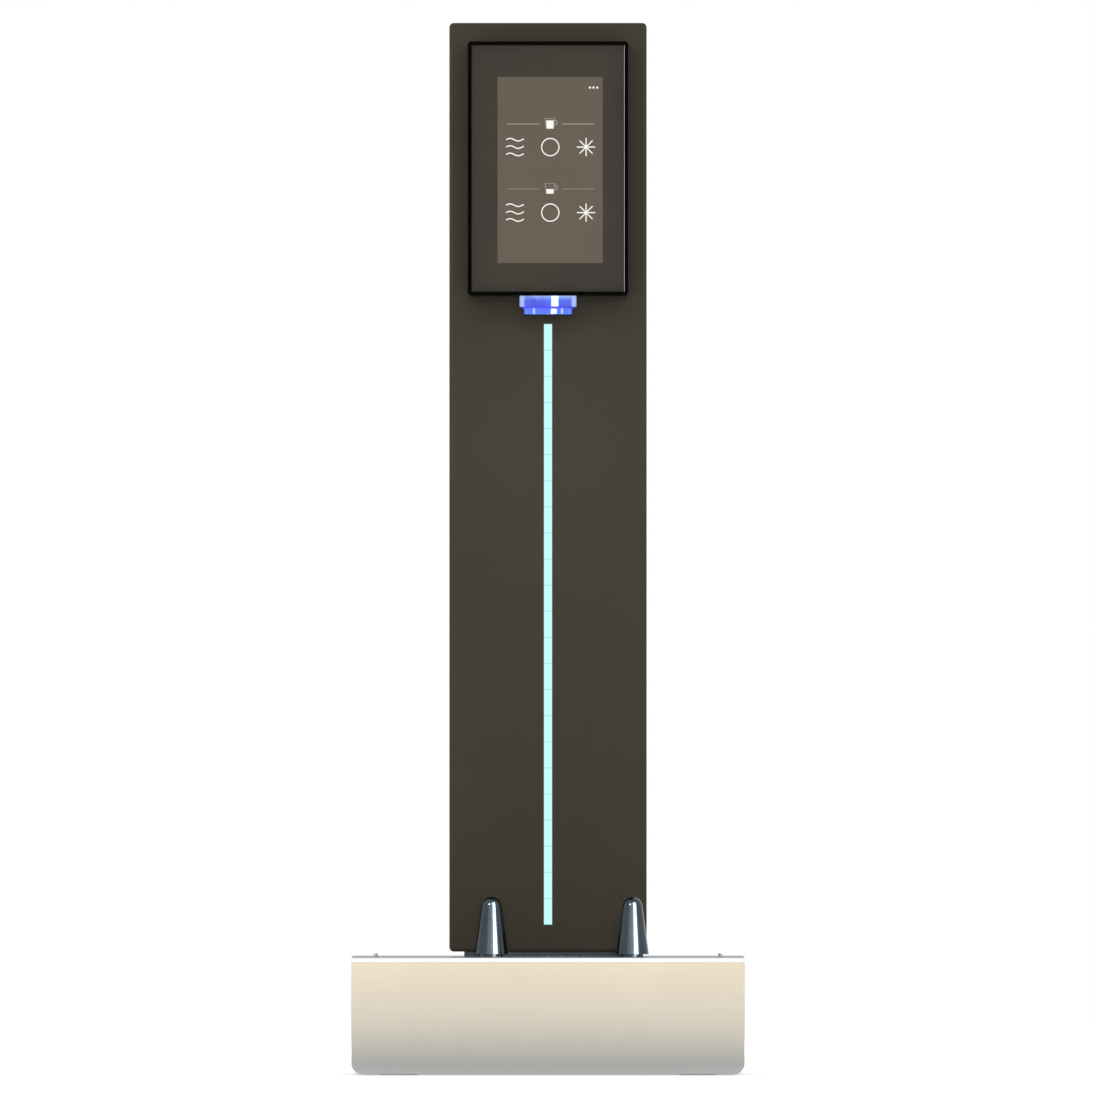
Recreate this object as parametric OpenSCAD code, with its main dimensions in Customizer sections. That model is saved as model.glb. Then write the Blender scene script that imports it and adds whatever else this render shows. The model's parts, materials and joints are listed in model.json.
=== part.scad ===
// A freestanding water dispenser: a tower with a touch screen and one lit spout,
// standing on a base that holds a lift-out drip basin under a perforated plate.
// The front faces -Y. The origin is on the counter, under the middle of the base.

/* [Base] */
// Width of the base, side to side
base_w = 250; // [236:1:300]
// Depth of the base, front to back
base_d = 280; // [265:1:340]
// Height of the deck above the counter
deck_top = 75; // [68:1:95]
// Sheet thickness of the base shell
base_wall = 1.5; // [1:0.1:2.5]
// Bend radius of the base's two lower side edges
base_bend_r = 7; // [5:0.5:12]
// Corner radius of the base, seen from above
base_corner_r = 2; // [1:0.5:4]
// Radius on which the lower front tucks under
tuck_r = 150; // [110:5:250]
// Height of the tucked part of the front
tuck_h = 45; // [20:1:55]
// Width of the rim folded in along the top of the base
rim_w = 17; // [14:0.5:20]
// Diameter of a rubber foot
foot_d = 24; // [18:1:30]
// Height by which the feet lift the base
foot_h = 0.8; // [0.5:0.1:2]
// Distance of a foot's centre from the base's edges
foot_inset = 30; // [24:1:45]

/* [Deck] */
// Height of the deck's edge
deck_edge = 3; // [2.6:0.1:4]
// Rounding of the deck's front edge
deck_round = 1.2; // [0.5:0.1:2]
// Sheet thickness of the drip plate
plate_sheet = 1.2; // [0.8:0.1:1.4]
// Diameter of a drain hole
drain_d = 4; // [3:0.5:6]
// Spacing of the drain holes
drain_pitch = 9; // [7:0.5:14]
// Sheet thickness of the drip basin
basin_sheet = 1; // [0.6:0.1:1.2]
// Height of the basin's underside above the base's floor
basin_lift = 20; // [10:1:30]
// Diameter of a locating pin
pin_d = 2.2; // [1.8:0.1:3]
// Height of a locating pin above the deck
pin_h = 2; // [1:0.1:4]

/* [Posts] */
// Diameter of a post at its foot
post_d = 21; // [16:0.5:24]
// Diameter of a post's round top
post_top_d = 12.8; // [10:0.1:15]
// Height of a post
post_h = 36.5; // [28:0.5:50]
// Gap between a post's foot and the deck
post_gap = 1.6; // [1:0.1:4]
// Distance of the left post from the centre line
left_post_x = 36; // [28:0.5:45]
// Distance of the right post from the centre line
right_post_x = 53.8; // [46:0.2:60]

/* [Tower] */
// Width of the tower
tower_w = 126; // [120:1:160]
// Depth of the tower
tower_d = 100; // [96:1:116]
// Height of the tower
tower_h = 593; // [520:1:700]
// Sheet thickness of the tower
tower_wall = 2; // [1.5:0.1:3]
// Corner radius of the tower, seen from the front
tower_corner_r = 3; // [2:0.5:6]
// Rounding of the tower's other outer edges
tower_edge_r = 2; // [1:0.5:3]
// Distance of the tower's back from the base's rear edge
tower_setback = 20; // [18:0.5:30]
// Thickness of the plate that the tower stands on
plinth_h = 3; // [2:0.5:8]
// Distance of that plate's edges from the tower's faces
plinth_inset = 9.5; // [4:0.5:10]
// Thickness of the rear cover
cover_sheet = 2; // [1.5:0.1:2]
// Height of the connection panel below the rear cover
panel_h = 66; // [56:1:80]

/* [Head] */
// Width of the head
head_w = 102.4; // [98:0.2:116]
// Height of the head
head_h = 162; // [152:0.5:190]
// Distance from the top of the head to the top of the tower
head_top_gap = 13; // [6:0.5:40]
// Wall thickness of the head
head_wall = 2; // [1.6:0.1:3]
// Corner radius of the head, seen from the front
head_corner_r = 2.5; // [1:0.5:5]
// Rounding of the head's front edges
head_edge_r = 0.8; // [0.4:0.1:1.2]
// Thickness of the cover glass
glass_t = 3; // [2:0.5:5]
// Bevel round the cover glass
glass_bevel = 0.5; // [0.2:0.1:1]
// Width of the lit screen
screen_w = 67; // [56:0.2:74]
// Height of the lit screen
screen_h = 118.5; // [90:0.5:126]
// Sideways offset of the lit screen
screen_dx = 1.4; // [-2:0.1:2]
// Upward offset of the lit screen
screen_dz = -1; // [-4:0.5:4]

/* [Spout] */
// Distance of the spout's axis in front of the tower
reach = 54; // [50:1:80]
// Diameter of the clear collar
collar_d = 36.2; // [35:0.2:40]
// Height of the collar below the head
collar_drop = 8; // [5:0.5:14]
// Height of the collar's chamfer
collar_chamfer = 1.3; // [0.5:0.1:2]
// Diameter of the spout
spout_d = 30.5; // [29:0.1:31.5]
// Height of the spout below the head
spout_drop = 11.5; // [9:0.5:20]
// Bore of the spout's outlet
outlet_d = 14; // [10:0.5:14.4]

/* [Light bar] */
// Width of the light bar
bar_w = 5; // [4:0.5:8]
// Length of one light cell
cell_pitch = 16.667; // [10:0.001:25]
// Least distance from the bar's ends to the head and to the tower's foot
bar_margin = 15; // [12:1:40]

/* [Water] */
// Spacing of the three water lines
valve_pitch = 36; // [34:0.5:37]
// Diameter of the tube that a user pushes into an inlet
supply_tube_d = 8; // [6:0.5:8]
// Outer diameter of the inner tubes
tube_d = 9; // [8.4:0.1:10]
// Bend radius of the inner tubes
bend_r = 22; // [18:1:24]
// Diameter of a valve's plunger
plunger_d = 10; // [8:0.1:10.4]
// Stroke of a valve's plunger
stroke = 2.5; // [1.5:0.1:3]

/* [Hidden] */
$fn = 64;

// Clearances
loose = 0.4;      // between plates that are lifted or fitted by hand
clear = 0.2;      // round screws, tubes and rings
running = 0.06;   // between a plunger and its guide
eps = 1;          // how far a cutter passes the face that it cuts, and a boss sinks into its wall
melt = 0.02;      // how far a rounding cuts into the face that it meets

// Base and deck
base_x = base_w / 2;
base_y = base_d / 2;
floor_z = foot_h + base_wall;
rim_z = deck_top - deck_edge;
mouth_x = base_x - base_wall - rim_w;
mouth_y = base_y - base_wall - rim_w;
tuck_z = foot_h + tuck_h;
foot_stem_r = 4;
foot_head_r = 6;
foot_head_t = 2;
foot_x = base_x - foot_inset;
foot_y = base_y - foot_inset;
foot_places = [for (x = [-foot_x, foot_x]) for (y = [-foot_y, foot_y]) [x, y]];

// Tower
tower_x = tower_w / 2;
tower_back = base_y - tower_setback;
tower_front = tower_back - tower_d;
tower_mid = (tower_front + tower_back) / 2;
tower_z0 = deck_top + plinth_h;
tower_z1 = tower_z0 + tower_h;
tower_floor = tower_z0 + tower_wall;
tower_roof = tower_z1 - tower_wall;
inner_x = tower_x - tower_wall;
inner_front = tower_front + tower_wall;

// Seam between the drip plate and the rear deck, and the bracket under it
seam_gap = 2;
plate_back = tower_front - seam_gap;
deck_front = plate_back + loose;
bracket_t = 3;
bracket_reach = 4;
bracket_front = plate_back - bracket_reach;
bracket_x = mouth_x - loose;
bracket_back = mouth_y - loose;

// Drip basin
basin_gap = 0.8;
basin_x = mouth_x - basin_gap;
basin_front = -mouth_y + basin_gap;
basin_back = bracket_front - basin_gap;
basin_z = floor_z + basin_lift;
basin_edge_x = base_x - plate_sheet - loose;
basin_edge_front = -base_y + plate_sheet + loose;
basin_edge_back = plate_back - plate_sheet - loose;
pin_outset = 3.2;
pin_x = mouth_x + pin_outset;
pin_inset = 24;
pin_places = [for (x = [-pin_x, pin_x]) for (y = [-base_y + pin_inset, plate_back - pin_inset]) [x, y]];

// Rear cover
flange_w = 10;
flange_t = 2;
cover_recess = 0.5;
rear_screw_inset = 10;
cover_y1 = tower_back - cover_recess;
cover_y0 = cover_y1 - cover_sheet;
flange_y0 = cover_y0 - flange_t;
panel_top = tower_floor + panel_h;
rear_screw_x = inner_x - flange_w / 2;
rear_screw_zs = [
    tower_floor + rear_screw_inset,
    panel_top - rear_screw_inset,
    panel_top + rear_screw_inset,
    (panel_top + tower_roof) / 2,
    tower_roof - rear_screw_inset
];

// Vents of the rear cover
vent_half = 18;
vent_r = 2;
vent_x = 25;
vent_rows = 6;
vent_pitch = 10;
vent_margin = 50;

// Head and its display, from the front face backwards
head_x = head_w / 2;
head_z1 = tower_z1 - head_top_gap;
head_z0 = head_z1 - head_h;
head_mid = (head_z0 + head_z1) / 2;
head_floor = head_z0 + head_wall;
screen_at = [screen_dx, head_mid + screen_dz];
screen_half = [screen_w / 2, screen_h / 2];
mask_t = 0.3;
lcd_t = 4.5;
lcd_border = 5;
frame_t = 1.2;
frame_slot_half = [15, 4];
frame_slot_drop = 40;
frame_slot_at = [0, head_mid - frame_slot_drop];
ledge_w = 4;
spout_y = tower_front - reach;
manifold_rim = 4;
manifold_r = collar_d / 2 + manifold_rim;
frame_gap = 2;
head_front = spout_y - manifold_r - frame_gap - frame_t - lcd_t - mask_t - glass_t;
mask_y = head_front + glass_t;
lcd_y = mask_y + mask_t;
frame_y = lcd_y + lcd_t;
spacer_l = 6;
spacer_r = 3;
board_t = 1.6;
board_y = frame_y + frame_t + spacer_l;
board_x = 38;
board_half_h = 46;
board_rise = 16;
board_mid = head_mid + board_rise;
chip_t = 2;
chip_offset = [-10, 14];
chip_at = [0, board_mid] + chip_offset;
chip_half = [10, 10];
memory_offset = [14, 18];
memory_at = [0, board_mid] + memory_offset;
memory_half = [6, 4];
spacer_inset = 5;
pocket_x = head_x - head_wall;
pocket_z = head_h / 2 - head_wall;

// Spout, from the head's floor upwards
collar_r = collar_d / 2;
spout_r = spout_d / 2;
outlet_r = outlet_d / 2;
collar_flange_w = 2;
collar_flange_t = 1.5;
collar_lip = 0.4;
lights_z = head_floor + collar_flange_t;
light_h = 1.5;
light_count = 12;
light_side = 2;
manifold_z = lights_z + light_h + board_t;
manifold_flange_t = 3;
neck_r = 10;
neck_h = 7;
seal_r = 1;
gallery_z = manifold_z + manifold_flange_t;
gallery_h = 16;
gallery_top = gallery_z + gallery_h;
gallery_wall = 1.6;
gallery_y = neck_r + gallery_wall;
gallery_overhang = 8;
gallery_x = valve_pitch + gallery_overhang;
gallery_bore_r = 3;
gallery_bore_rise = 11;
gallery_bore_z = gallery_z + gallery_bore_rise;
ear_r = 4.5;
ear_overhang = 2.5;
ear_reach = manifold_r + ear_overhang;
ear_places = [for (a = [45 : 90 : 315]) [ear_reach * cos(a), spout_y + ear_reach * sin(a)]];
boss_r = 3.4;
spout_wall = 1.6;
outlet_wall = 2;
web_t = 3.5;
straightener_h = 6;
straightener_recess = 2;
straightener_hole_r = 1;
straightener_fine_r = 0.7;
inner_ring = 0.42 * outlet_r;
outer_ring = 0.78 * outlet_r;
lights_inset = 1;
seal_slack = 0.02;
seal_outset = 1.5;
seal_middle_r = outlet_r + seal_outset;

// Inner tubes
spigot_r = 3;
spigot_bore_r = 2;
spigot_l = 12;
tube_gap = 0.5;
spigot_clear = 3;
run_z = gallery_top + spigot_l + spigot_clear + bend_r;
line_xs = [-valve_pitch, 0, valve_pitch];

// Opening between tower and head, and the screws round it
open_margin = 4;
open_x = valve_pitch + tube_d / 2 + open_margin;
open_below = 12;
open_z0 = run_z - open_below;
open_above = 28;
open_z1 = run_z + open_above;
head_screw_x = 34;
head_screw_gap = 9;
head_screw_zs = [open_z0 - head_screw_gap, open_z1 + head_screw_gap];
head_boss_l = 9;
head_boss_r = 4.5;
head_boss_cap = 1;
m4_r = 2;
m4_head_r = 3.8;
m4_head_h = 3;
head_screw_l = 10;

// Chassis
chassis_setback = 40;
chassis_y = tower_front + chassis_setback;
chassis_t = 1.5;
chassis_back = chassis_y + chassis_t;
chassis_x = 48;
chassis_drop = 110;
chassis_top = run_z - chassis_drop;
chassis_foot_x = 50;
chassis_foot_y = 36;
bolt_x = 40;
bolt_offset = 28;
bolt_ys = [tower_mid - bolt_offset, tower_mid + bolt_offset];
bolt_places = [for (x = [-bolt_x, bolt_x]) for (y = bolt_ys) [x, y]];
bolt_r = 3;
bolt_head_r = 5;
bolt_head_h = 5;
nut_t = 5;
nut_r = 5.77;
bolt_tail = 2;

// Valves
line_offset = 7.5;
line_y = chassis_back + line_offset;
plunger_offset = 26.5;
plunger_y = chassis_back + plunger_offset;
plunger_r = plunger_d / 2;
valve_half_w = 14;
valve_l = 40;
valve_h = 28;
valve_rise = 98;
valve_z = tower_floor + valve_rise;
valve_top = valve_z + valve_h;
chamber_gap = 3;
chamber_r = plunger_r + chamber_gap;
chamber_rise = 16;
chamber_z = valve_z + chamber_rise;
chamber_cap = 3;
chamber_top = valve_top - chamber_cap;
seat_h = 2;
seat_z = chamber_z + seat_h;
inlet_offset = 6;
inlet_y = plunger_y + inlet_offset;
passage_r = 1.75;
inlet_pass_rise = 6;
inlet_pass_z = valve_z + inlet_pass_rise;
outlet_pass_rise = 12;
outlet_pass_z = valve_z + outlet_pass_rise;
plunger_l = 22;
plunger_top = seat_z + plunger_l;
lifted_spring_l = 10.5;
spring_l = lifted_spring_l + stroke;
guide_end = plunger_top + spring_l;
guide_wall = 1;
guide_cap = 2;
guide_r = plunger_r + running + guide_wall;
seat_wall = 1.2;
coil_r = 13;
coil_gap = 0.5;
coil_z0 = valve_top + coil_gap;
coil_z1 = guide_end;
coil_tab_half_w = 6;
coil_tab_reach = 5;
coil_tab_l = coil_r + coil_tab_reach;
coil_tab_rise = 6;
coil_tab_z = coil_z0 + coil_tab_rise;
coil_tab_h = 12;
spring_inset = 1.4;
spring_r = plunger_r - spring_inset;
wire_r = 0.4;
spring_turns = 6;
spring_steps = 16;
wire_sides = 6;
m3_r = 1.5;
m3_head_r = 2.8;
m3_head_h = 2;
valve_screw_x = 9;
valve_screw_rise = 14;
valve_screw_z = valve_z + valve_screw_rise;
valve_screw_l = 8;
manifold_screw_l = 6;

// Inlets
inlet_rise = 32;
inlet_z = tower_floor + inlet_rise;
inlet_r = 7;
inlet_flange_r = 10;
inlet_flange_t = 3.5;
inlet_nut_r = 11;
inlet_nut_t = 6;
inlet_thread_l = 9;
inlet_in = cover_y0 - inlet_thread_l;
inlet_spigot_l = 10;
inlet_spigot_end = inlet_in - inlet_spigot_l;
inlet_inset = 1.5;
inlet_face = base_y - inlet_inset;
inlet_stop = 3;
socket_depth = inlet_face - cover_y1 - inlet_stop;

// Tube clip
clip_drop = 26;
clip_z = chassis_top - clip_drop;
clip_h = 12;
clip_margin = 4;
clip_x = valve_pitch + tube_d / 2 + clip_margin;

// Driver board and leads
driver_x = 40;
driver_rise = 170;
driver_h = 80;
driver_z0 = tower_floor + driver_rise;
driver_z1 = driver_z0 + driver_h;
driver_y1 = chassis_y - spacer_l;
driver_y0 = driver_y1 - board_t;
socket_t = 9;
socket_h = 10;
socket_half_w = 7;
socket_inset = 2;
relay_xs = [-28, -16, -4];
relay_half_w = 4;
relay_t = 4;
relay_rise = 30;
relay_z = driver_z0 + relay_rise;
relay_h = 16;
lead_r = 3;
lead_y = driver_y0 - socket_t / 2;
lead_bend_r = 14;
power_x = 20;
lead_at = [power_x, lead_y];
signal_x = 18;
signal_rise = 16;
signal_z = run_z + signal_rise;
bush_r = 9;
bush_flange_r = 11.5;
bush_flange_t = 1.5;

// Power supply and mains inlet
supply_w = 130;
supply_d = 62;
supply_gap = 8;
supply_x0 = power_x - supply_w / 2;
supply_x1 = power_x + supply_w / 2;
supply_y0 = bracket_front + bracket_t + supply_gap;
supply_y1 = supply_y0 + supply_d;
supply_h = 36;
supply_socket = [12, 8];
mains_inset = 55;
mains_x = -base_x + mains_inset;
mains_rise = 28;
mains_z = floor_z + mains_rise;
mains_half_w = 13.5;
mains_half_h = 10;
mains_depth = 22;
mains_flange = [6, 3];
mains_flange_t = 3;
mains_wall = [2, 2];
mains_back_t = 5;
mains_lead_run = 30;
mains_lead_y = supply_y0 + mains_lead_run;

// Light bar
bar_room = head_z0 - tower_z0 - 2 * bar_margin;
cell_count = floor(bar_room / cell_pitch);
bar_l = cell_count * cell_pitch;
bar_z0 = (head_z0 + tower_z0 - bar_l) / 2;
bar_z1 = bar_z0 + bar_l;
bar_recess = 0.2;
bar_flange = 2.5;
bar_flange_t = 1.5;
groove_w = 0.5;
groove_h = 0.4;
channel_wall = 1.2;
channel_d = 9;
channel_x = bar_w / 2 + bar_flange + clear + channel_wall;
strip_t = 1;
lamp_side = 4;
lamp_h = 1.5;

// Posts
stem_r = 7;
stud_r = 2.5;
stud_l = 8;
washer_r = 5;
washer_t = 1;
post_nut_r = 4.6;
post_nut_t = 4;
post_r = post_d / 2;
dome_r = post_top_d / 2;
dome_z = post_h - dome_r;
flank = acos(dome_r / norm([post_r, dome_z])) - atan2(dome_z, post_r);
washer_margin = 1;
left_post = [-left_post_x, basin_back - basin_sheet - washer_r - washer_margin];
post_circle = norm(left_post - [0, spout_y]);
right_post = [right_post_x, spout_y + sqrt(max(0, pow(post_circle, 2) - pow(right_post_x, 2)))];

// Drain holes, in staggered rows on a round field under the spout, clear of the posts and over the basin
drain_margin = 4;
drain_r = drain_d / 2;
drain_field_r = post_circle - post_r - drain_r - drain_margin;
drain_row = drain_pitch * sin(60);
drain_count = floor(drain_field_r / drain_row);
drain_places = [
    for (j = [-drain_count : drain_count])
        for (i = [-drain_count - 1 : drain_count + 1])
            let (p = [(i + (j % 2 == 0 ? 0 : 0.5)) * drain_pitch, j * drain_row])
                if (norm(p) <= drain_field_r && is_over_basin(p + [0, spout_y])) p + [0, spout_y]
];

function is_over_basin(p) =
    p[1] > basin_front + drain_r + drain_margin && p[1] < basin_back - drain_r - drain_margin;

function unit(v) = v / norm(v);
function turn(path, i) = acos(unit(path[i] - path[i - 1]) * unit(path[i + 1] - path[i]));
function is_end(path, i) = i == 0 || i == len(path) - 1;
function trim(path, i, r) = is_end(path, i) ? 0 : r * tan(turn(path, i) / 2);

// Helpers

module block(low, high) {
    translate(low) cube(high - low);
}

// A flat outline in X and Y, raised from z0 to z1
module along_z(z0, z1) {
    translate([0, 0, z0]) linear_extrude(z1 - z0) children();
}

// A flat outline in X and Z, drawn out from y0 to y1
module along_y(y0, y1) {
    translate([0, y1, 0]) rotate([90, 0, 0]) linear_extrude(y1 - y0) children();
}

// A flat outline in Y and Z, drawn out from x0 to x1
module along_x(x0, x1) {
    translate([x0, 0, 0]) rotate([90, 0, 90]) linear_extrude(x1 - x0) children();
}

module rod_z(at, z0, z1, r) {
    translate([at[0], at[1], z0]) cylinder(h = z1 - z0, r = r);
}

// A rod along Y, placed by its X and Z
module rod_y(at, y0, y1, r) {
    translate([at[0], y0, at[1]]) rotate([-90, 0, 0]) cylinder(h = y1 - y0, r = r);
}

module rectangle(low, high) {
    translate(low) square(high - low);
}

module rounded(low, high, r) {
    rectangle(low + [r, 0], high - [r, 0]);
    rectangle(low + [0, r], high - [0, r]);
    for (x = [low[0] + r, high[0] - r]) {
        for (y = [low[1] + r, high[1] - r]) {
            translate([x, y]) circle(r);
        }
    }
}

module ring_z(at, z0, z1, outer, inner) {
    translate([at[0], at[1], z0]) linear_extrude(z1 - z0) difference() {
        circle(outer);
        circle(inner);
    }
}

// A straight piece of tube between two points
module straight(a, b, r) {
    d = b - a;
    translate(a) rotate([0, acos(d[2] / norm(d)), atan2(d[1], d[0])]) cylinder(h = norm(d), r = r);
}

// The bend at one point of a path
module bend(path, i, bend_radius, r) {
    along = unit(path[i] - path[i - 1]);
    axis = unit(cross(along, path[i + 1] - path[i]));
    inward = cross(axis, along);
    centre = path[i] - along * trim(path, i, bend_radius) + inward * bend_radius;
    frame = [for (k = [0 : 2]) [-inward[k], along[k], axis[k], centre[k]]];
    multmatrix(frame) rotate_extrude(angle = turn(path, i)) translate([bend_radius, 0]) circle(r);
}

// A round bar that follows a path, with a bend at each inner point
module bent_bar(path, bend_radius, r) {
    for (i = [0 : len(path) - 2]) {
        along = unit(path[i + 1] - path[i]);
        straight(path[i] + along * trim(path, i, bend_radius),
                 path[i + 1] - along * trim(path, i + 1, bend_radius), r);
    }
    for (i = [1 : 1 : len(path) - 2]) {
        bend(path, i, bend_radius, r);
    }
}

module bent_tube(path, bend_radius, outer, inner) {
    difference() {
        bent_bar(path, bend_radius, outer);
        bent_bar(path, bend_radius, inner);
    }
}

// A screw with its head on top of z = 0 and its shank below
module screw(head_r, head_h, shank_r, shank_l) {
    cylinder(h = head_h, r = head_r);
    translate([0, 0, -shank_l]) cylinder(h = shank_l, r = shank_r);
}

// Base

// The base's side view, shrunk by t: a straight front above, tucked under on a large arc below
module base_side(t, top) {
    arc_r = tuck_r - t;
    front = -base_y + t;
    centre = [-base_y + tuck_r, tuck_z];
    rectangle([front, tuck_z], [base_y - t, top]);
    intersection() {
        rectangle([front, foot_h + t], [base_y - t, tuck_z]);
        union() {
            translate(centre) circle(arc_r, $fn = 256);
            rectangle([centre[0], foot_h], [base_y, tuck_z]);
        }
    }
}

// The base's front view, shrunk by t, with its two lower corners rounded
module base_face(t, top) {
    r = base_bend_r - t;
    x = base_x - t;
    z = foot_h + t;
    intersection() {
        rectangle([-x, z], [x, top]);
        rounded([-x - melt, z - melt], [x + melt, top + r + melt], r);
    }
}

// The base seen from above, larger by the melt: it is cut to the base's own width and depth
module base_plan() {
    corner = [base_x + melt, base_y + melt];
    rounded(-corner, corner, base_corner_r);
}

module base_block(t, top) {
    intersection() {
        along_x(-base_x + t, base_x - t) base_side(t, top);
        along_y(-base_y, base_y) base_face(t, top);
    }
}

module base_shell() {
    color("#e0d8c6") difference() {
        intersection() {
            base_block(0, rim_z);
            along_z(0, rim_z) base_plan();
        }
        base_block(base_wall, rim_z - base_wall);
        along_y(base_y - base_wall - eps, base_y + eps) base_face(base_wall, rim_z - base_wall);
        block([-mouth_x, -mouth_y, rim_z - base_wall - eps], [mouth_x, mouth_y, rim_z + eps]);
        for (p = foot_places) {
            rod_z(p, foot_h - eps, floor_z + eps, foot_stem_r);
        }
    }
}

// The panel that closes the back of the base, with a cut-out for the mains inlet
module base_rear_panel() {
    cut = [mains_half_w + clear, mains_half_h + clear];
    color("#d2cbbb") along_y(base_y - base_wall, base_y) difference() {
        base_face(base_wall, rim_z - base_wall);
        rectangle([mains_x, mains_z] - cut, [mains_x, mains_z] + cut);
    }
}

module rubber_feet() {
    color("#202020") for (p = foot_places) {
        rod_z(p, 0, foot_h, foot_d / 2);
        rod_z(p, foot_h, floor_z, foot_stem_r - clear);
        rod_z(p, floor_z, floor_z + foot_head_t, foot_head_r);
    }
}

// Holes that pass from the tower down into the base
module tower_holes(z0, z1) {
    for (p = bolt_places) {
        rod_z(p, z0, z1, bolt_r + clear);
    }
    rod_z(lead_at, z0, z1, bush_r);
}

module tower_bracket() {
    color("#b8babd") difference() {
        block([-bracket_x, bracket_front, floor_z], [bracket_x, bracket_back, rim_z]);
        block([-bracket_x + bracket_t, bracket_front + bracket_t, floor_z - eps],
              [bracket_x - bracket_t, bracket_back + eps, rim_z - bracket_t]);
        tower_holes(rim_z - bracket_t - eps, rim_z + eps);
    }
}

module rear_deck() {
    color("#c9ced3") difference() {
        along_z(rim_z, deck_top) intersection() {
            base_plan();
            rectangle([-base_x, deck_front], [base_x, base_y]);
        }
        tower_holes(rim_z - eps, deck_top + eps);
    }
}

module plinth_plate() {
    edge_x = tower_x - plinth_inset;
    color("#596066") difference() {
        block([-edge_x, tower_front + plinth_inset, deck_top], [edge_x, tower_back - plinth_inset, tower_z0]);
        tower_holes(deck_top - eps, tower_z0 + eps);
    }
}

module tower_bolts() {
    top = tower_floor + chassis_t;
    color("#b0b4b8") for (p = bolt_places) {
        translate([p[0], p[1], top])
            screw(bolt_head_r, bolt_head_h, bolt_r, top - rim_z + bracket_t + nut_t + bolt_tail);
    }
}

module tower_nuts() {
    top = rim_z - bracket_t;
    color("#b0b4b8") for (p = bolt_places) {
        translate([p[0], p[1], top - nut_t]) linear_extrude(nut_t) difference() {
            circle(nut_r, $fn = 6);
            circle(bolt_r + clear / 2);
        }
    }
}

// Power

module power_supply() {
    top = floor_z + supply_h;
    color("#a8acb0") union() {
        block([supply_x0, supply_y0, floor_z], [supply_x1, supply_y1, top]);
        along_z(top, top + socket_h) rectangle(lead_at - supply_socket, lead_at + supply_socket);
    }
}

module mains_inlet() {
    at = [mains_x, mains_z];
    face = [mains_half_w, mains_half_h];
    flange = face + mains_flange;
    hollow = face - mains_wall;
    inside = base_y - base_wall;
    color("#1a1a1a") difference() {
        union() {
            along_y(base_y - mains_depth, base_y) rectangle(at - face, at + face);
            along_y(inside - mains_flange_t, inside) rectangle(at - flange, at + flange);
        }
        along_y(base_y - mains_depth + mains_back_t, base_y + eps) rectangle(at - hollow, at + hollow);
    }
}

// One lead from the mains inlet to the power supply, and one from there up to the driver board
module power_leads() {
    color("#303030") {
        bent_bar([
            [mains_x, base_y - mains_depth, mains_z],
            [mains_x, mains_lead_y, mains_z],
            [supply_x0, mains_lead_y, mains_z]
        ], lead_bend_r, lead_r);
        rod_z(lead_at, floor_z + supply_h + socket_h, driver_z0 + socket_inset, lead_r);
    }
}

module lead_bush() {
    top = tower_floor + chassis_t;
    color("#202020") {
        ring_z(lead_at, rim_z - bracket_t, top, bush_r - clear, lead_r + clear);
        ring_z(lead_at, top, top + bush_flange_t, bush_flange_r, lead_r + clear);
    }
}

// Drip basin and plate

module drip_basin() {
    color("#c4c8cb") difference() {
        union() {
            block([-basin_x, basin_front, basin_z], [basin_x, basin_back, rim_z + basin_sheet]);
            block([-basin_edge_x, basin_edge_front, rim_z],
                  [basin_edge_x, basin_edge_back, rim_z + basin_sheet]);
        }
        block([-basin_x + basin_sheet, basin_front + basin_sheet, basin_z + basin_sheet],
              [basin_x - basin_sheet, basin_back - basin_sheet, rim_z + basin_sheet + eps]);
    }
}

module locating_pins() {
    color("#d0d4d8") for (p = pin_places) {
        rod_z(p, rim_z + basin_sheet, deck_top + pin_h, pin_d / 2);
    }
}

// The drip plate's side view, with its front edge rounded
module plate_side() {
    r = deck_round;
    rectangle([-base_y + r, rim_z], [plate_back, deck_top]);
    rectangle([-base_y, rim_z], [-base_y + r, deck_top - r]);
    translate([-base_y + r, deck_top - r]) circle(r);
}

module drip_plate() {
    color("#c9ced3") difference() {
        intersection() {
            along_x(-base_x, base_x) plate_side();
            along_z(rim_z, deck_top) base_plan();
        }
        block([-base_x + plate_sheet, -base_y + plate_sheet, rim_z - eps],
              [base_x - plate_sheet, plate_back - plate_sheet, deck_top - plate_sheet]);
        along_z(deck_top - plate_sheet - eps, deck_top + eps) {
            for (p = drain_places) {
                translate(p) circle(drain_r);
            }
            for (p = pin_places) {
                translate(p) circle(pin_d / 2 + loose);
            }
            for (p = [left_post, right_post]) {
                translate(p) circle(stud_r + clear);
            }
        }
    }
}

// A bullet-shaped post on a short stem, with a stud that passes through the drip plate
module post(at) {
    shoulder = [dome_r * cos(flank), dome_z + dome_r * sin(flank)];
    foot = deck_top + post_gap;
    translate([at[0], at[1], foot]) rotate_extrude() {
        polygon([
            [0, -post_gap - stud_l], [stud_r, -post_gap - stud_l], [stud_r, -post_gap], [stem_r, -post_gap],
            [stem_r, 0], [post_r, 0], shoulder - [melt, 0], [0, shoulder[1]]
        ]);
        intersection() {
            translate([0, dome_z]) circle(dome_r);
            rectangle([0, dome_z - dome_r / 2], [post_r, post_h]);
        }
    }
}

module left_post() {
    color("#aeb4b8") post(left_post);
}

module right_post() {
    color("#aeb4b8") post(right_post);
}

module post_nuts() {
    under = deck_top - plate_sheet;
    color("#b0b4b8") for (p = [left_post, right_post]) {
        ring_z(p, under - washer_t, under, washer_r, stud_r + clear);
        translate([p[0], p[1], under - washer_t - post_nut_t]) linear_extrude(post_nut_t) difference() {
            circle(post_nut_r, $fn = 6);
            circle(stud_r + clear / 2);
        }
    }
}

// Tower

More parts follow.
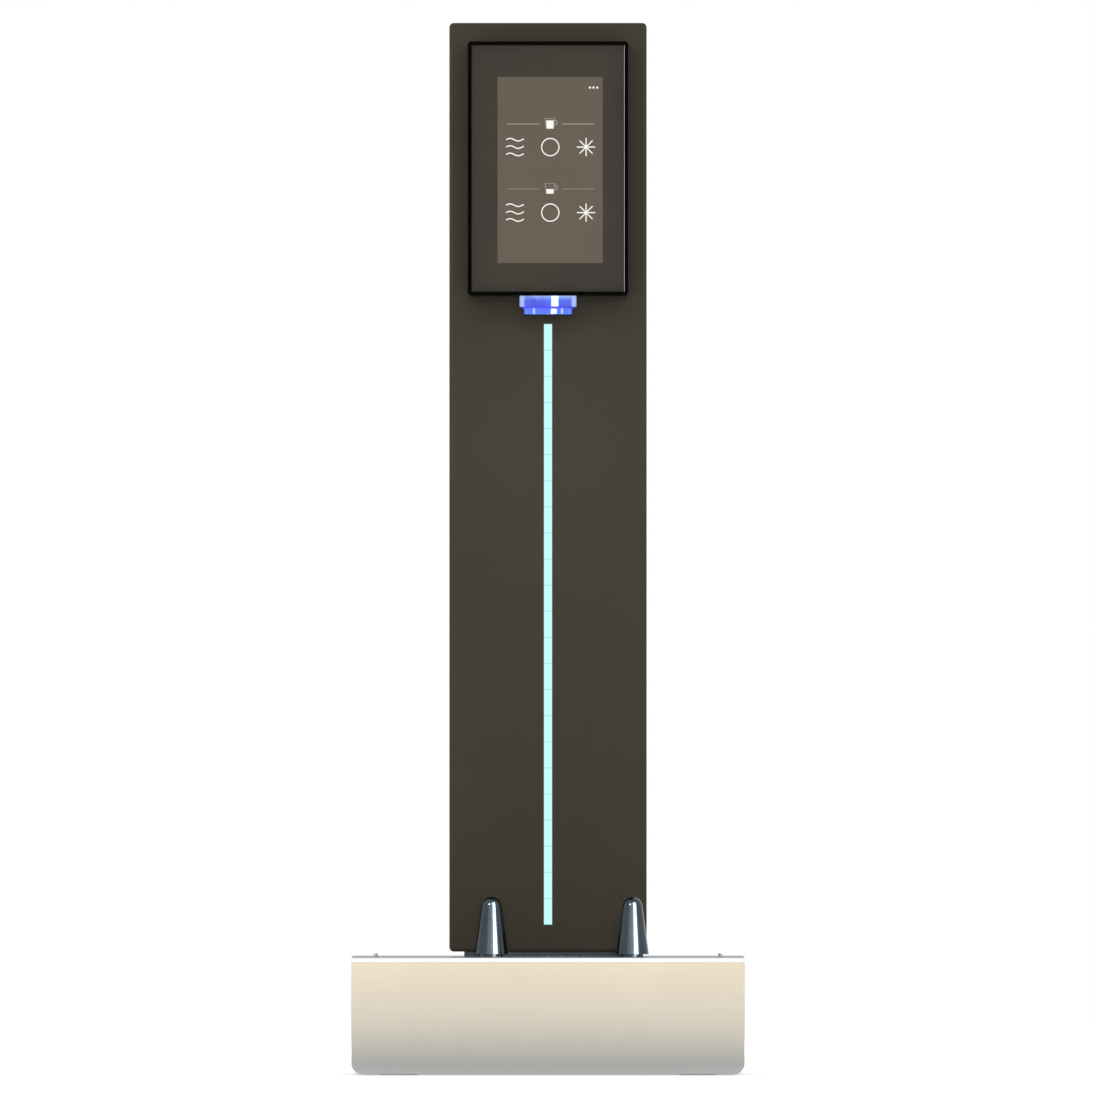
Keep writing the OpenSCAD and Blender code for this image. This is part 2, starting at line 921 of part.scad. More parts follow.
module tower_block() {
    r = tower_edge_r;
    intersection() {
        along_y(tower_front, tower_back) rounded([-tower_x, tower_z0], [tower_x, tower_z1], tower_corner_r);
        along_x(-tower_x, tower_x) rounded([tower_front, tower_z0], [tower_back, tower_z1], r);
        along_z(tower_z0, tower_z1) rounded([-tower_x, tower_front], [tower_x, tower_back], r);
    }
}

module head_opening() {
    rectangle([-open_x, open_z0], [open_x, open_z1]);
}

module head_screw_holes(r) {
    for (x = [-head_screw_x, head_screw_x]) {
        for (z = head_screw_zs) {
            translate([x, z]) circle(r);
        }
    }
}

module rear_screw_holes(r) {
    for (x = [-rear_screw_x, rear_screw_x]) {
        for (z = rear_screw_zs) {
            translate([x, z]) circle(r);
        }
    }
}

module tower_shell() {
    lip = inner_x - flange_w;
    color("#423e35") difference() {
        tower_block();
        block([-inner_x, inner_front, tower_floor], [inner_x, flange_y0, tower_roof]);
        block([-lip, flange_y0 - eps, tower_floor], [lip, cover_y0 + eps, tower_roof]);
        block([-inner_x, cover_y0, tower_floor], [inner_x, tower_back + eps, tower_roof]);
        along_y(tower_front - eps, inner_front + eps) {
            rectangle([-bar_w / 2 - clear / 2, bar_z0 - clear / 2],
                      [bar_w / 2 + clear / 2, bar_z1 + clear / 2]);
            head_opening();
            head_screw_holes(m4_r + clear);
        }
        along_y(flange_y0 - eps, cover_y0 + eps) rear_screw_holes(m3_r + clear / 2);
        tower_holes(tower_z0 - eps, tower_floor + eps);
    }
}

module vent_slot(at) {
    translate(at) {
        rectangle([-vent_half, -vent_r], [vent_half, vent_r]);
        for (end = [-vent_half, vent_half]) {
            translate([end, 0]) circle(vent_r);
        }
    }
}

module rear_cover() {
    edge_x = inner_x - clear;
    color("#423e35") along_y(cover_y0, cover_y1) difference() {
        rectangle([-edge_x, panel_top + clear], [edge_x, tower_roof - clear]);
        rear_screw_holes(m3_r + clear);
        for (x = [-vent_x, vent_x]) {
            for (i = [0 : vent_rows - 1]) {
                vent_slot([x, panel_top + vent_margin + i * vent_pitch]);
                vent_slot([x, tower_roof - vent_margin - i * vent_pitch]);
            }
        }
    }
}

module connection_panel() {
    edge_x = inner_x - clear;
    color("#8f9499") along_y(cover_y0, cover_y1) difference() {
        rectangle([-edge_x, tower_floor + clear], [edge_x, panel_top - clear]);
        rear_screw_holes(m3_r + clear);
        for (x = line_xs) {
            translate([x, inlet_z]) circle(inlet_r + clear);
        }
    }
}

module rear_screws() {
    color("#303030") for (x = [-rear_screw_x, rear_screw_x]) {
        for (z = rear_screw_zs) {
            translate([x, cover_y1, z]) rotate([-90, 0, 0]) screw(m3_head_r, m3_head_h, m3_r, valve_screw_l);
        }
    }
}

module chassis() {
    color("#a4a8ac") difference() {
        union() {
            block([-chassis_x, chassis_y, tower_floor], [chassis_x, chassis_back, chassis_top]);
            block([-chassis_foot_x, tower_mid - chassis_foot_y, tower_floor],
                  [chassis_foot_x, tower_mid + chassis_foot_y, tower_floor + chassis_t]);
        }
        tower_holes(tower_floor - eps, tower_floor + chassis_t + eps);
        along_y(chassis_y - eps, chassis_back + eps) for (x = line_xs) {
            for (side = [-valve_screw_x, valve_screw_x]) {
                translate([x + side, valve_screw_z]) circle(m3_r + clear);
            }
        }
    }
}

// Light bar

module light_diffuser() {
    half = bar_w / 2;
    face = tower_front + bar_recess;
    color("#c8fdfe") difference() {
        union() {
            block([-half, face, bar_z0], [half, inner_front, bar_z1]);
            block([-half - bar_flange, inner_front, bar_z0 - bar_flange],
                  [half + bar_flange, inner_front + bar_flange_t, bar_z1 + bar_flange]);
        }
        for (i = [1 : cell_count - 1]) {
            z = bar_z0 + i * cell_pitch;
            block([-half - eps, face - eps, z - groove_w / 2],
                  [half + eps, face + groove_h, z + groove_w / 2]);
        }
    }
}

module light_channel() {
    z0 = bar_z0 - bar_flange - clear;
    z1 = bar_z1 + bar_flange + clear;
    back = inner_front + channel_d;
    color("#b8bcc0") difference() {
        block([-channel_x, inner_front, z0], [channel_x, back, z1]);
        block([-channel_x + channel_wall, inner_front - eps, z0 - eps],
              [channel_x - channel_wall, back - channel_wall, z1 + eps]);
    }
}

module light_strip() {
    half = channel_x - channel_wall - clear;
    y1 = inner_front + channel_d - channel_wall;
    y0 = y1 - strip_t;
    color("#f0f0f0") union() {
        block([-half, y0, bar_z0], [half, y1, bar_z1]);
        for (i = [0 : cell_count - 1]) {
            translate([0, y0 - lamp_h / 2, bar_z0 + (i + 0.5) * cell_pitch])
                cube([lamp_side, lamp_h, lamp_side], center = true);
        }
    }
}

// Head

module head_block() {
    back = tower_front + eps + head_edge_r;
    intersection() {
        along_y(head_front, tower_front) rounded([-head_x, head_z0], [head_x, head_z1], head_corner_r);
        along_x(-head_x, head_x) rounded([head_front, head_z0], [back, head_z1], head_edge_r);
        along_z(head_z0, head_z1) rounded([-head_x, head_front], [head_x, back], head_edge_r);
    }
}

// A rectangle in X and Z about the middle of the head
module head_window(half_x, half_z) {
    rectangle([-half_x, head_mid - half_z], [half_x, head_mid + half_z]);
}

module head_housing() {
    back = tower_front - head_wall;
    color("#0a0a0a") difference() {
        union() {
            difference() {
                head_block();
                along_y(head_front - eps, lcd_y) head_window(pocket_x, pocket_z);
                along_y(lcd_y - eps, frame_y + eps) head_window(pocket_x - ledge_w, pocket_z - ledge_w);
                along_y(frame_y, back) head_window(pocket_x, pocket_z);
            }
            along_y(back - head_boss_l, back + eps) head_screw_holes(head_boss_r);
            for (p = ear_places) {
                rod_z(p, head_floor - eps, manifold_z, boss_r);
            }
        }
        along_y(back - eps, tower_front + eps) head_opening();
        along_y(back - head_boss_l + head_boss_cap, tower_front + eps) head_screw_holes(m4_r + clear / 2);
        rod_z([0, spout_y], head_z0 - eps, head_floor + eps, collar_r + clear);
        for (p = ear_places) {
            rod_z(p, head_floor, manifold_z + eps, m3_r + clear / 2);
        }
    }
}

module head_screws() {
    color("#b0b4b8") for (x = [-head_screw_x, head_screw_x]) {
        for (z = head_screw_zs) {
            translate([x, inner_front, z]) rotate([-90, 0, 0])
                screw(m4_head_r, m4_head_h, m4_r, head_screw_l);
        }
    }
}

// The cover glass, with its front edges bevelled
module cover_glass() {
    x = pocket_x - clear;
    z = pocket_z - clear;
    b = glass_bevel;
    color("#454039") intersection() {
        along_y(head_front, mask_y) head_window(x, z);
        along_x(-x, x) polygon([
            [head_front, head_mid - z + b], [head_front + b, head_mid - z], [mask_y, head_mid - z],
            [mask_y, head_mid + z], [head_front + b, head_mid + z], [head_front, head_mid + z - b]
        ]);
        along_z(head_mid - z, head_mid + z) polygon([
            [-x + b, head_front], [x - b, head_front], [x, head_front + b],
            [x, mask_y], [-x, mask_y], [-x, head_front + b]
        ]);
    }
}

module display_mask() {
    color("#3c3831") along_y(mask_y, lcd_y) difference() {
        head_window(pocket_x - clear, pocket_z - clear);
        rectangle(screen_at - screen_half, screen_at + screen_half);
    }
}

module display_panel() {
    half = screen_half + [lcd_border, lcd_border];
    color("#6a6257") along_y(lcd_y, frame_y) rectangle(screen_at - half, screen_at + half);
}

module display_frame() {
    color("#a4a8ac") along_y(frame_y, frame_y + frame_t) difference() {
        head_window(pocket_x - clear, pocket_z - clear);
        rectangle(frame_slot_at - frame_slot_half, frame_slot_at + frame_slot_half);
    }
}

module control_board() {
    back = board_y + board_t;
    color("#1d5a34") union() {
        block([-board_x, board_y, board_mid - board_half_h], [board_x, back, board_mid + board_half_h]);
        along_y(back, back + chip_t) {
            rectangle(chip_at - chip_half, chip_at + chip_half);
            rectangle(memory_at - memory_half, memory_at + memory_half);
        }
        block([signal_x - socket_half_w, back, signal_z - socket_h / 2],
              [signal_x + socket_half_w, back + socket_t, signal_z + socket_h / 2]);
    }
}

module board_spacers() {
    color("#c8b060") {
        for (x = [-board_x + spacer_inset, board_x - spacer_inset]) {
            for (z = [board_mid - board_half_h + spacer_inset, board_mid + board_half_h - spacer_inset]) {
                rod_y([x, z], frame_y + frame_t, board_y, spacer_r);
            }
        }
        for (x = [-driver_x + spacer_inset, driver_x - spacer_inset]) {
            for (z = [driver_z0 + spacer_inset, driver_z1 - spacer_inset]) {
                rod_y([x, z], driver_y1, chassis_y, spacer_r);
            }
        }
    }
}

module driver_board() {
    power_z = driver_z0 + socket_inset;
    signal_end = driver_z1 - socket_inset;
    color("#1d5a34") union() {
        along_y(driver_y0, driver_y1) rectangle([-driver_x, driver_z0], [driver_x, driver_z1]);
        block([power_x - socket_half_w, driver_y0 - socket_t, power_z],
              [power_x + socket_half_w, driver_y0, power_z + socket_h]);
        block([signal_x - socket_half_w, driver_y0 - socket_t, signal_end - socket_h],
              [signal_x + socket_half_w, driver_y0, signal_end]);
        for (x = relay_xs) {
            block([x - relay_half_w, driver_y0 - relay_t, relay_z],
                  [x + relay_half_w, driver_y0, relay_z + relay_h]);
        }
    }
}

module signal_lead() {
    color("#303030") bent_bar([
        [signal_x, board_y + board_t + socket_t, signal_z],
        [signal_x, lead_y, signal_z],
        [signal_x, lead_y, driver_z1 - socket_inset]
    ], lead_bend_r, lead_r);
}

// Spout

module spout_collar() {
    inner = spout_r + clear;
    low = head_z0 - collar_drop;
    color("#8fb0f0") translate([0, spout_y, 0]) rotate_extrude() polygon([
        [inner, low], [inner + collar_lip, low], [collar_r, low + collar_chamfer], [collar_r, head_floor],
        [collar_r + collar_flange_w, head_floor], [collar_r + collar_flange_w, lights_z], [inner, lights_z]
    ]);
}

// The spout: a bell with the outlet tube inside it and a neck that fits the manifold
module spout() {
    low = head_z0 - spout_drop;
    web = manifold_z - web_t;
    tube = outlet_r + outlet_wall;
    color("#4b6eeb") translate([0, spout_y, 0]) rotate_extrude() polygon([
        [outlet_r, low], [tube, low], [tube, web], [spout_r - spout_wall, web], [spout_r - spout_wall, low],
        [spout_r, low], [spout_r, manifold_z], [neck_r, manifold_z], [neck_r, manifold_z + neck_h],
        [outlet_r, manifold_z + neck_h]
    ]);
}

module flow_straightener() {
    low = head_z0 - spout_drop + straightener_recess;
    color("#d8dde2") translate([0, spout_y, low]) linear_extrude(straightener_h) difference() {
        circle(outlet_r - clear / 2);
        circle(straightener_hole_r);
        for (a = [0 : 60 : 300]) {
            rotate(a) translate([inner_ring, 0]) circle(straightener_hole_r);
        }
        for (a = [15 : 30 : 345]) {
            rotate(a) translate([outer_ring, 0]) circle(straightener_fine_r);
        }
    }
}

module spout_manifold() {
    socket_top = manifold_z + neck_h + 2 * seal_r;
    color("#e8e8e4") difference() {
        union() {
            rod_z([0, spout_y], manifold_z, gallery_z, manifold_r);
            for (p = ear_places) {
                rod_z(p, manifold_z, gallery_z, ear_r);
            }
            block([-gallery_x, spout_y - gallery_y, gallery_z],
                  [gallery_x, spout_y + gallery_y, gallery_top]);
            for (x = line_xs) {
                rod_z([x, spout_y], gallery_top, gallery_top + spigot_l, spigot_r);
            }
        }
        rod_z([0, spout_y], manifold_z - eps, socket_top, neck_r + clear);
        rod_z([0, spout_y], manifold_z, gallery_bore_z, outlet_r);
        translate([-valve_pitch, spout_y, gallery_bore_z]) rotate([0, 90, 0])
            cylinder(h = 2 * valve_pitch, r = gallery_bore_r);
        for (x = line_xs) {
            rod_z([x, spout_y], gallery_bore_z, gallery_top + spigot_l + eps, spigot_bore_r);
        }
        for (p = ear_places) {
            rod_z(p, manifold_z - eps, gallery_z + eps, m3_r + clear);
        }
    }
}

module spout_lights() {
    at = [0, spout_y];
    outer = collar_r + collar_flange_w - lights_inset;
    inner = spout_r + 2 * clear;
    color("#f0f0f0") union() {
        ring_z(at, lights_z + light_h, manifold_z, outer, inner);
        for (i = [0 : light_count - 1]) {
            translate([0, spout_y, lights_z]) rotate(i * 360 / light_count)
                translate([(outer + inner - light_side) / 2, -light_side / 2, 0])
                    cube([light_side, light_side, light_h + board_t / 2]);
        }
    }
}

module spout_seal() {
    color("#202020") translate([0, spout_y, manifold_z + neck_h + seal_r])
        rotate_extrude() translate([seal_middle_r, 0]) circle(seal_r - seal_slack);
}

// Water lines

module inlet_fittings() {
    color("#d8d8d2") for (x = line_xs) {
        at = [x, inlet_z];
        difference() {
            union() {
                rod_y(at, inlet_in, cover_y1, inlet_r);
                rod_y(at, cover_y1, cover_y1 + inlet_flange_t, inlet_flange_r);
                rod_y(at, cover_y1 + inlet_flange_t, inlet_face, inlet_r);
                rod_y(at, inlet_spigot_end, inlet_in, spigot_r);
            }
            rod_y(at, inlet_face - socket_depth, inlet_face + eps, supply_tube_d / 2 + clear / 2);
            rod_y(at, inlet_spigot_end - eps, inlet_face, spigot_bore_r);
        }
    }
}

module inlet_nuts() {
    color("#d8d8d2") for (x = line_xs) {
        along_y(cover_y0 - inlet_nut_t, cover_y0) translate([x, inlet_z]) difference() {
            circle(inlet_nut_r, $fn = 6);
            circle(inlet_r + clear / 2);
        }
    }
}

module feed_tubes() {
    color("#dfe6ea") for (x = line_xs) {
        bent_tube([
            [x, inlet_in - tube_gap, inlet_z],
            [x, line_y, inlet_z],
            [x, line_y, valve_z - tube_gap]
        ], bend_r, tube_d / 2, spigot_r + clear / 2);
    }
}

module delivery_line(x) {
    color("#dfe6ea") bent_tube([
        [x, line_y, valve_top + tube_gap],
        [x, line_y, run_z],
        [x, spout_y, run_z],
        [x, spout_y, gallery_top + tube_gap]
    ], bend_r, tube_d / 2, spigot_r + clear / 2);
}

module still_line() {
    delivery_line(line_xs[0]);
}

module sparkling_line() {
    delivery_line(line_xs[1]);
}

module chilled_line() {
    delivery_line(line_xs[2]);
}

module tube_clip() {
    grip = tube_d / 2 + clear;
    back = line_y + tube_d / 2;
    color("#303030") along_z(clip_z, clip_z + clip_h) difference() {
        rectangle([-clip_x, chassis_back], [clip_x, back]);
        for (x = line_xs) {
            translate([x, line_y]) circle(grip);
            rectangle([x - grip, line_y], [x + grip, back + eps]);
        }
    }
}

// A solenoid valve: water comes in from below, over the seat under the plunger, and out at the top
module valve(x) {
    in_line = [x, line_y];
    on_seat = [x, plunger_y];
    color("#b08d57") difference() {
        union() {
            block([x - valve_half_w, chassis_back, valve_z],
                  [x + valve_half_w, chassis_back + valve_l, valve_top]);
            rod_z(in_line, valve_z - spigot_l, valve_z, spigot_r);
            rod_z(in_line, valve_top, valve_top + spigot_l, spigot_r);
            rod_z(on_seat, valve_top, guide_end + guide_cap, guide_r);
        }
        difference() {
            rod_z(on_seat, chamber_z, chamber_top, chamber_r);
            rod_z(on_seat, chamber_z - eps, seat_z, passage_r + seat_wall);
        }
        rod_z(on_seat, seat_z, guide_end, plunger_r + running);
        rod_z(on_seat, outlet_pass_z, seat_z + eps, passage_r);
        rod_y([x, outlet_pass_z], line_y, plunger_y, passage_r);
        rod_z(in_line, outlet_pass_z, valve_top + spigot_l + eps, spigot_bore_r);
        rod_z(in_line, valve_z - spigot_l - eps, inlet_pass_z, spigot_bore_r);
        rod_y([x, inlet_pass_z], line_y, inlet_y, passage_r);
        rod_z([x, inlet_y], inlet_pass_z, chamber_z + eps, passage_r);
        for (side = [-valve_screw_x, valve_screw_x]) {
            rod_y([x + side, valve_screw_z], chassis_back - eps, chassis_back + valve_screw_l,
                  m3_r + clear / 2);
        }
    }
}

module still_valve() {
    valve(line_xs[0]);
}

module sparkling_valve() {
    valve(line_xs[1]);
}

module chilled_valve() {
    valve(line_xs[2]);
}

module valve_coils() {
    color("#2a2a2a") for (x = line_xs) {
        difference() {
            union() {
                rod_z([x, plunger_y], coil_z0, coil_z1, coil_r);
                block([x - coil_tab_half_w, plunger_y, coil_tab_z],
                      [x + coil_tab_half_w, plunger_y + coil_tab_l, coil_tab_z + coil_tab_h]);
            }
            rod_z([x, plunger_y], coil_z0 - eps, coil_z1 + eps, guide_r + clear);
        }
    }
}

module plunger(x) {
    color("#c8ccd0") rod_z([x, plunger_y], seat_z, plunger_top, plunger_r);
}

module still_plunger() {
    plunger(line_xs[0]);
}

module sparkling_plunger() {
    plunger(line_xs[1]);
}

module chilled_plunger() {
    plunger(line_xs[2]);
}

// One point on the surface of a spring's wire: step i along it, side k round it
function wire_point(i, k) =
    let (
        a = i * 360 / spring_steps,
        b = k * 360 / wire_sides,
        rise = (spring_l - 2 * wire_r) / (spring_turns * spring_steps),
        r = spring_r + wire_r * cos(b)
    )
    [r * cos(a), r * sin(a), wire_r + i * rise + wire_r * sin(b)];

// A coil spring as one unbroken wire
module spring(x) {
    last = spring_turns * spring_steps;
    points = [for (i = [0 : last]) for (k = [0 : wire_sides - 1]) wire_point(i, k)];
    sides = [
        for (i = [0 : last - 1])
            for (k = [0 : wire_sides - 1])
                let (n = (k + 1) % wire_sides, a = i * wire_sides, b = a + wire_sides)
                    each [[a + k, a + n, b + n], [a + k, b + n, b + k]]
    ];
    first_cap = [for (k = [wire_sides - 1 : -1 : 0]) k];
    last_cap = [for (k = [0 : wire_sides - 1]) last * wire_sides + k];
    gap = min([for (i = [0 : last - spring_steps])
        norm(wire_point(i + spring_steps, 0) - wire_point(i, 0)) - 2 * wire_r]);
    echo(least_gap_between_turns = gap);
    color("#b0b4b8") translate([x, plunger_y, plunger_top])
        polyhedron(points, concat(sides, [first_cap, last_cap]));
}

module still_spring() {
    spring(line_xs[0]);
}

module sparkling_spring() {
    spring(line_xs[1]);
}

module chilled_spring() {
    spring(line_xs[2]);
}

// The screws of the manifold and of the valves
module small_screws() {
    color("#b0b4b8") {
        for (p = ear_places) {
            translate([p[0], p[1], gallery_z]) screw(m3_head_r, m3_head_h, m3_r, manifold_screw_l);
        }
        for (x = line_xs) {
            for (side = [-valve_screw_x, valve_screw_x]) {
                translate([x + side, chassis_y, valve_screw_z]) rotate([90, 0, 0])
                    screw(m3_head_r, m3_head_h, m3_r, valve_screw_l);
            }
        }
    }
}

base_shell();
base_rear_panel();
tower_bracket();
rear_deck();
rubber_feet();
plinth_plate();
tower_bolts();
tower_nuts();
power_supply();
mains_inlet();
power_leads();
lead_bush();
drip_basin();
locating_pins();
drip_plate();
left_post();
right_post();
post_nuts();
tower_shell();
rear_cover();
connection_panel();
rear_screws();
chassis();
light_diffuser();
light_strip();
light_channel();
head_housing();
head_screws();
cover_glass();
display_mask();
display_panel();
display_frame();
control_board();
board_spacers();
signal_lead();
spout_collar();
spout();
flow_straightener();
spout_manifold();
spout_lights();
spout_seal();
inlet_fittings();
inlet_nuts();
feed_tubes();
still_valve();
sparkling_valve();
chilled_valve();
valve_coils();
small_screws();
still_plunger();
sparkling_plunger();
chilled_plunger();
still_spring();
sparkling_spring();
chilled_spring();
still_line();
sparkling_line();
chilled_line();
tube_clip();
driver_board();
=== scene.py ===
import json
import math

import bmesh
import bpy
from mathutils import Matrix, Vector


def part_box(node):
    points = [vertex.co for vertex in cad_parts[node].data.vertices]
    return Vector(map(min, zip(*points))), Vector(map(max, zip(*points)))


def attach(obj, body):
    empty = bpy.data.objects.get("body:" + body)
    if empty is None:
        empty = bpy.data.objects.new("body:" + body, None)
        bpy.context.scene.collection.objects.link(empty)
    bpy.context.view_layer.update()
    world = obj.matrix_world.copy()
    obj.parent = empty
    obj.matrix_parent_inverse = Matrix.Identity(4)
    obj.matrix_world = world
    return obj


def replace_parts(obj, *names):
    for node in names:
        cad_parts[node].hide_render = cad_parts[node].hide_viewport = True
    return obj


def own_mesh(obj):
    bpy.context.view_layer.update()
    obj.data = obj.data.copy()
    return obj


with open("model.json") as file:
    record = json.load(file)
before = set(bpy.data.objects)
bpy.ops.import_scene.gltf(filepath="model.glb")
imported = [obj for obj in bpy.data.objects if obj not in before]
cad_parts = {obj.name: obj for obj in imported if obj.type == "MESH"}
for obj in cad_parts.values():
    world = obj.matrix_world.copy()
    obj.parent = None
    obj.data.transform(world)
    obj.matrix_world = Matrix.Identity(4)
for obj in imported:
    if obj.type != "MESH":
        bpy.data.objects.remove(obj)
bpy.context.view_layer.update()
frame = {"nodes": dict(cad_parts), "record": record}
cadNodes = frame["nodes"]
mm = 0.001
mainBody = "dispenser"
print("frame:", len(cadNodes), "CAD nodes")


# Helpers for shader trees

def linear(red, green, blue):    # a colour as read off a paint card, 0 to 255, for a shader
    shares = [value / 255 for value in (red, green, blue)]
    return [v / 12.92 if v <= 0.04045 else ((v + 0.055) / 1.055) ** 2.4 for v in shares] + [1]


def fill(tree, node, inputs):    # sets sockets to values, or links them to what feeds them
    for key, value in inputs.items():
        if isinstance(value, bpy.types.NodeSocket):
            tree.links.new(value, node.inputs[key])
        else:
            node.inputs[key].default_value = value


def addNode(tree, kind, inputs=None, **settings):
    node = tree.nodes.new(kind)
    for key, value in settings.items():
        setattr(node, key, value)
    fill(tree, node, inputs or {})
    return node


def worked(tree, operation, *values):    # one step of arithmetic
    return addNode(tree, "ShaderNodeMath", dict(enumerate(values)), operation=operation).outputs[0]


def mapped(tree, value, source=(0.0, 1.0), target=(0.0, 1.0)):    # carries a value from one span to another
    level = addNode(tree, "ShaderNodeMapRange", {"Value": value, "From Min": source[0], "From Max": source[1],
                                                 "To Min": target[0], "To Max": target[1]})
    return level.outputs[0]


def newFinish(name):
    material = bpy.data.materials.new(name)
    material.use_nodes = True
    tree = material.node_tree
    return material, tree, tree.nodes["Principled BSDF"]


def seenDirectly(tree):    # 1 to the eye, in a reflection or through glass; 0 where it only gives light
    path = addNode(tree, "ShaderNodeLightPath").outputs
    some = worked(tree, "MAXIMUM", path["Is Camera Ray"], path["Is Glossy Ray"])
    return worked(tree, "MAXIMUM", some, path["Is Transmission Ray"])


# Camera, floor and light

photoView = {
    "distance": 30.0,     # a long lens from far away, as the photo is almost without perspective
    "height": 0.2,
    "tilt": 0.259,        # degrees upward
    "lens": 1544.4,
    "sensor": 36.0,
    "clipEnd": 60.0,
}


def makeCamera(look):
    data = bpy.data.cameras.new("photoCamera")
    data.lens = look["lens"]
    data.sensor_width = look["sensor"]
    data.clip_end = look["clipEnd"]
    camera = bpy.data.objects.new("photoCamera", data)
    camera.location = (0, -look["distance"], look["height"])
    camera.rotation_euler = (math.radians(90 + look["tilt"]), 0, 0)
    bpy.context.scene.collection.objects.link(camera)
    bpy.context.scene.camera = camera


studio = {
    "roomLight": 0.27,            # how bright the white room is as a lamp; to the eye it is 1
    "floorSize": 12.0,
    "floorColour": linear(238, 238, 238), "floorRough": 0.9, "floorGloss": 0.1,
    "floorLift": (0.36, 0.79),    # takes the open floor up to white, most away from the object
    "liftSpan": (0.3, 1.3),
}


def makeRoom(look):
    world = bpy.data.worlds.new("whiteRoom")
    world.use_nodes = True
    tree = world.node_tree
    tree.nodes.clear()
    level = mapped(tree, seenDirectly(tree), target=(look["roomLight"], 1.0))
    room = addNode(tree, "ShaderNodeBackground", {"Color": (1, 1, 1, 1), "Strength": level})
    addNode(tree, "ShaderNodeOutputWorld", {"Surface": room.outputs[0]})
    bpy.context.scene.world = world


def makeFloor(look):
    material, tree, shader = newFinish("paleFloor")
    place = addNode(tree, "ShaderNodeTexCoord")
    away = addNode(tree, "ShaderNodeVectorMath", {0: place.outputs["Object"]}, operation="LENGTH")
    lift = mapped(tree, away.outputs["Value"], look["liftSpan"], look["floorLift"])
    fill(tree, shader, {
        "Base Color": look["floorColour"], "Roughness": look["floorRough"],
        "Specular IOR Level": look["floorGloss"], "Emission Color": (1, 1, 1, 1),
        "Emission Strength": worked(tree, "MULTIPLY", seenDirectly(tree), lift),
    })
    half = look["floorSize"] / 2
    corners = [(-half, -half, 0), (half, -half, 0), (half, half, 0), (-half, half, 0)]
    mesh = bpy.data.meshes.new("floor")
    mesh.from_pydata(corners, [], [(0, 1, 2, 3)])
    mesh.materials.append(material)
    floor = bpy.data.objects.new("floor", mesh)
    bpy.context.scene.collection.objects.link(floor)


polishedPieces = bpy.data.collections.new("polishedPieces")
polishedPosts = bpy.data.collections.new("polishedPosts")
upperTower = bpy.data.collections.new("upperTower")

lampAim = 0.33    # the height that lamps and cards look at
lamps = {    # turn about the object from the camera, height of the middle, distance, size and power
    "frontLamp": {"turn": 0, "height": 0.9, "distance": 3.6, "width": 1.2, "length": 1.0, "power": 80},
    "leftLamp": {"turn": -80, "height": 1.8, "distance": 3.0, "width": 1.6, "length": 1.6, "power": 40},
    "rightLamp": {"turn": 80, "height": 1.8, "distance": 3.0, "width": 1.6, "length": 1.6, "power": 40},
    "backLamp": {"turn": 180, "height": 1.6, "distance": 3.2, "width": 1.6, "length": 1.6, "power": 56},
}
cards = {    # seen only as reflections in the pieces of one collection
    "tallCard": {"turn": 28, "height": 1.5, "distance": 2.9, "width": 1.75, "length": 3.0, "power": 370,
                 "shownIn": polishedPieces},
    "smallCard": {"turn": -30, "height": 1.7, "distance": 2.9, "width": 0.4, "length": 0.5, "power": 60,
                  "shownIn": polishedPosts},
    "softCard": {"turn": -3, "height": 1.5, "distance": 2.9, "width": 0.8, "length": 3.0, "power": 17,
                 "shownIn": polishedPosts},
    "dimCard": {"turn": -22, "height": 1.5, "distance": 2.9, "width": 1.1, "length": 3.0, "power": 9,
                "shownIn": polishedPosts},
}


def aimAt(lamp, height):    # turns a lamp to a point on the upright axis
    way = Vector((0, 0, height)) - lamp.location
    lamp.rotation_euler = way.to_track_quat("-Z", "Y").to_euler()


def makeLamp(name, look):
    data = bpy.data.lights.new(name, "AREA")
    data.shape = "RECTANGLE"
    data.size = look["width"]
    data.size_y = look["length"]
    data.energy = look["power"]
    lamp = bpy.data.objects.new(name, data)
    turn = math.radians(look["turn"])
    lamp.location = (math.sin(turn) * look["distance"], -math.cos(turn) * look["distance"], look["height"])
    aimAt(lamp, lampAim)
    isCard = "shownIn" in look
    lamp.visible_camera = False
    lamp.visible_glossy = isCard
    lamp.visible_diffuse = not isCard
    lamp.visible_transmission = False
    if isCard:
        lamp.light_linking.receiver_collection = look["shownIn"]
    bpy.context.scene.collection.objects.link(lamp)


headSpot = {"height": 0.6, "distance": 3.0, "aim": 0.57, "angle": 10, "softness": 0.1, "power": 60}


def makeHeadSpot(look):    # takes the head's shade off the tower beside it, and lights the tower alone
    data = bpy.data.lights.new("headSpot", "SPOT")
    data.energy = look["power"]
    data.spot_size = math.radians(look["angle"])
    data.spot_blend = 1.0
    data.shadow_soft_size = look["softness"]
    spot = bpy.data.objects.new("headSpot", data)
    spot.location = (0, -look["distance"], look["height"])
    aimAt(spot, look["aim"])
    spot.visible_camera = False
    spot.visible_glossy = False
    spot.light_linking.receiver_collection = upperTower
    bpy.context.scene.collection.objects.link(spot)


makeCamera(photoView)
makeRoom(studio)
makeFloor(studio)
for lampName, lampLook in {**lamps, **cards}.items():
    makeLamp(lampName, lampLook)
makeHeadSpot(headSpot)
bpy.context.scene.view_settings.view_transform = "Standard"
print("studio: camera, floor,", len(lamps), "lamps,", len(cards), "cards and a spot")


# Finishes

grainSpan = (0.3, 0.7)      # where most of the noise lies
upwardSpan = (0.6, 0.9)     # the rise of a face that counts as looking up


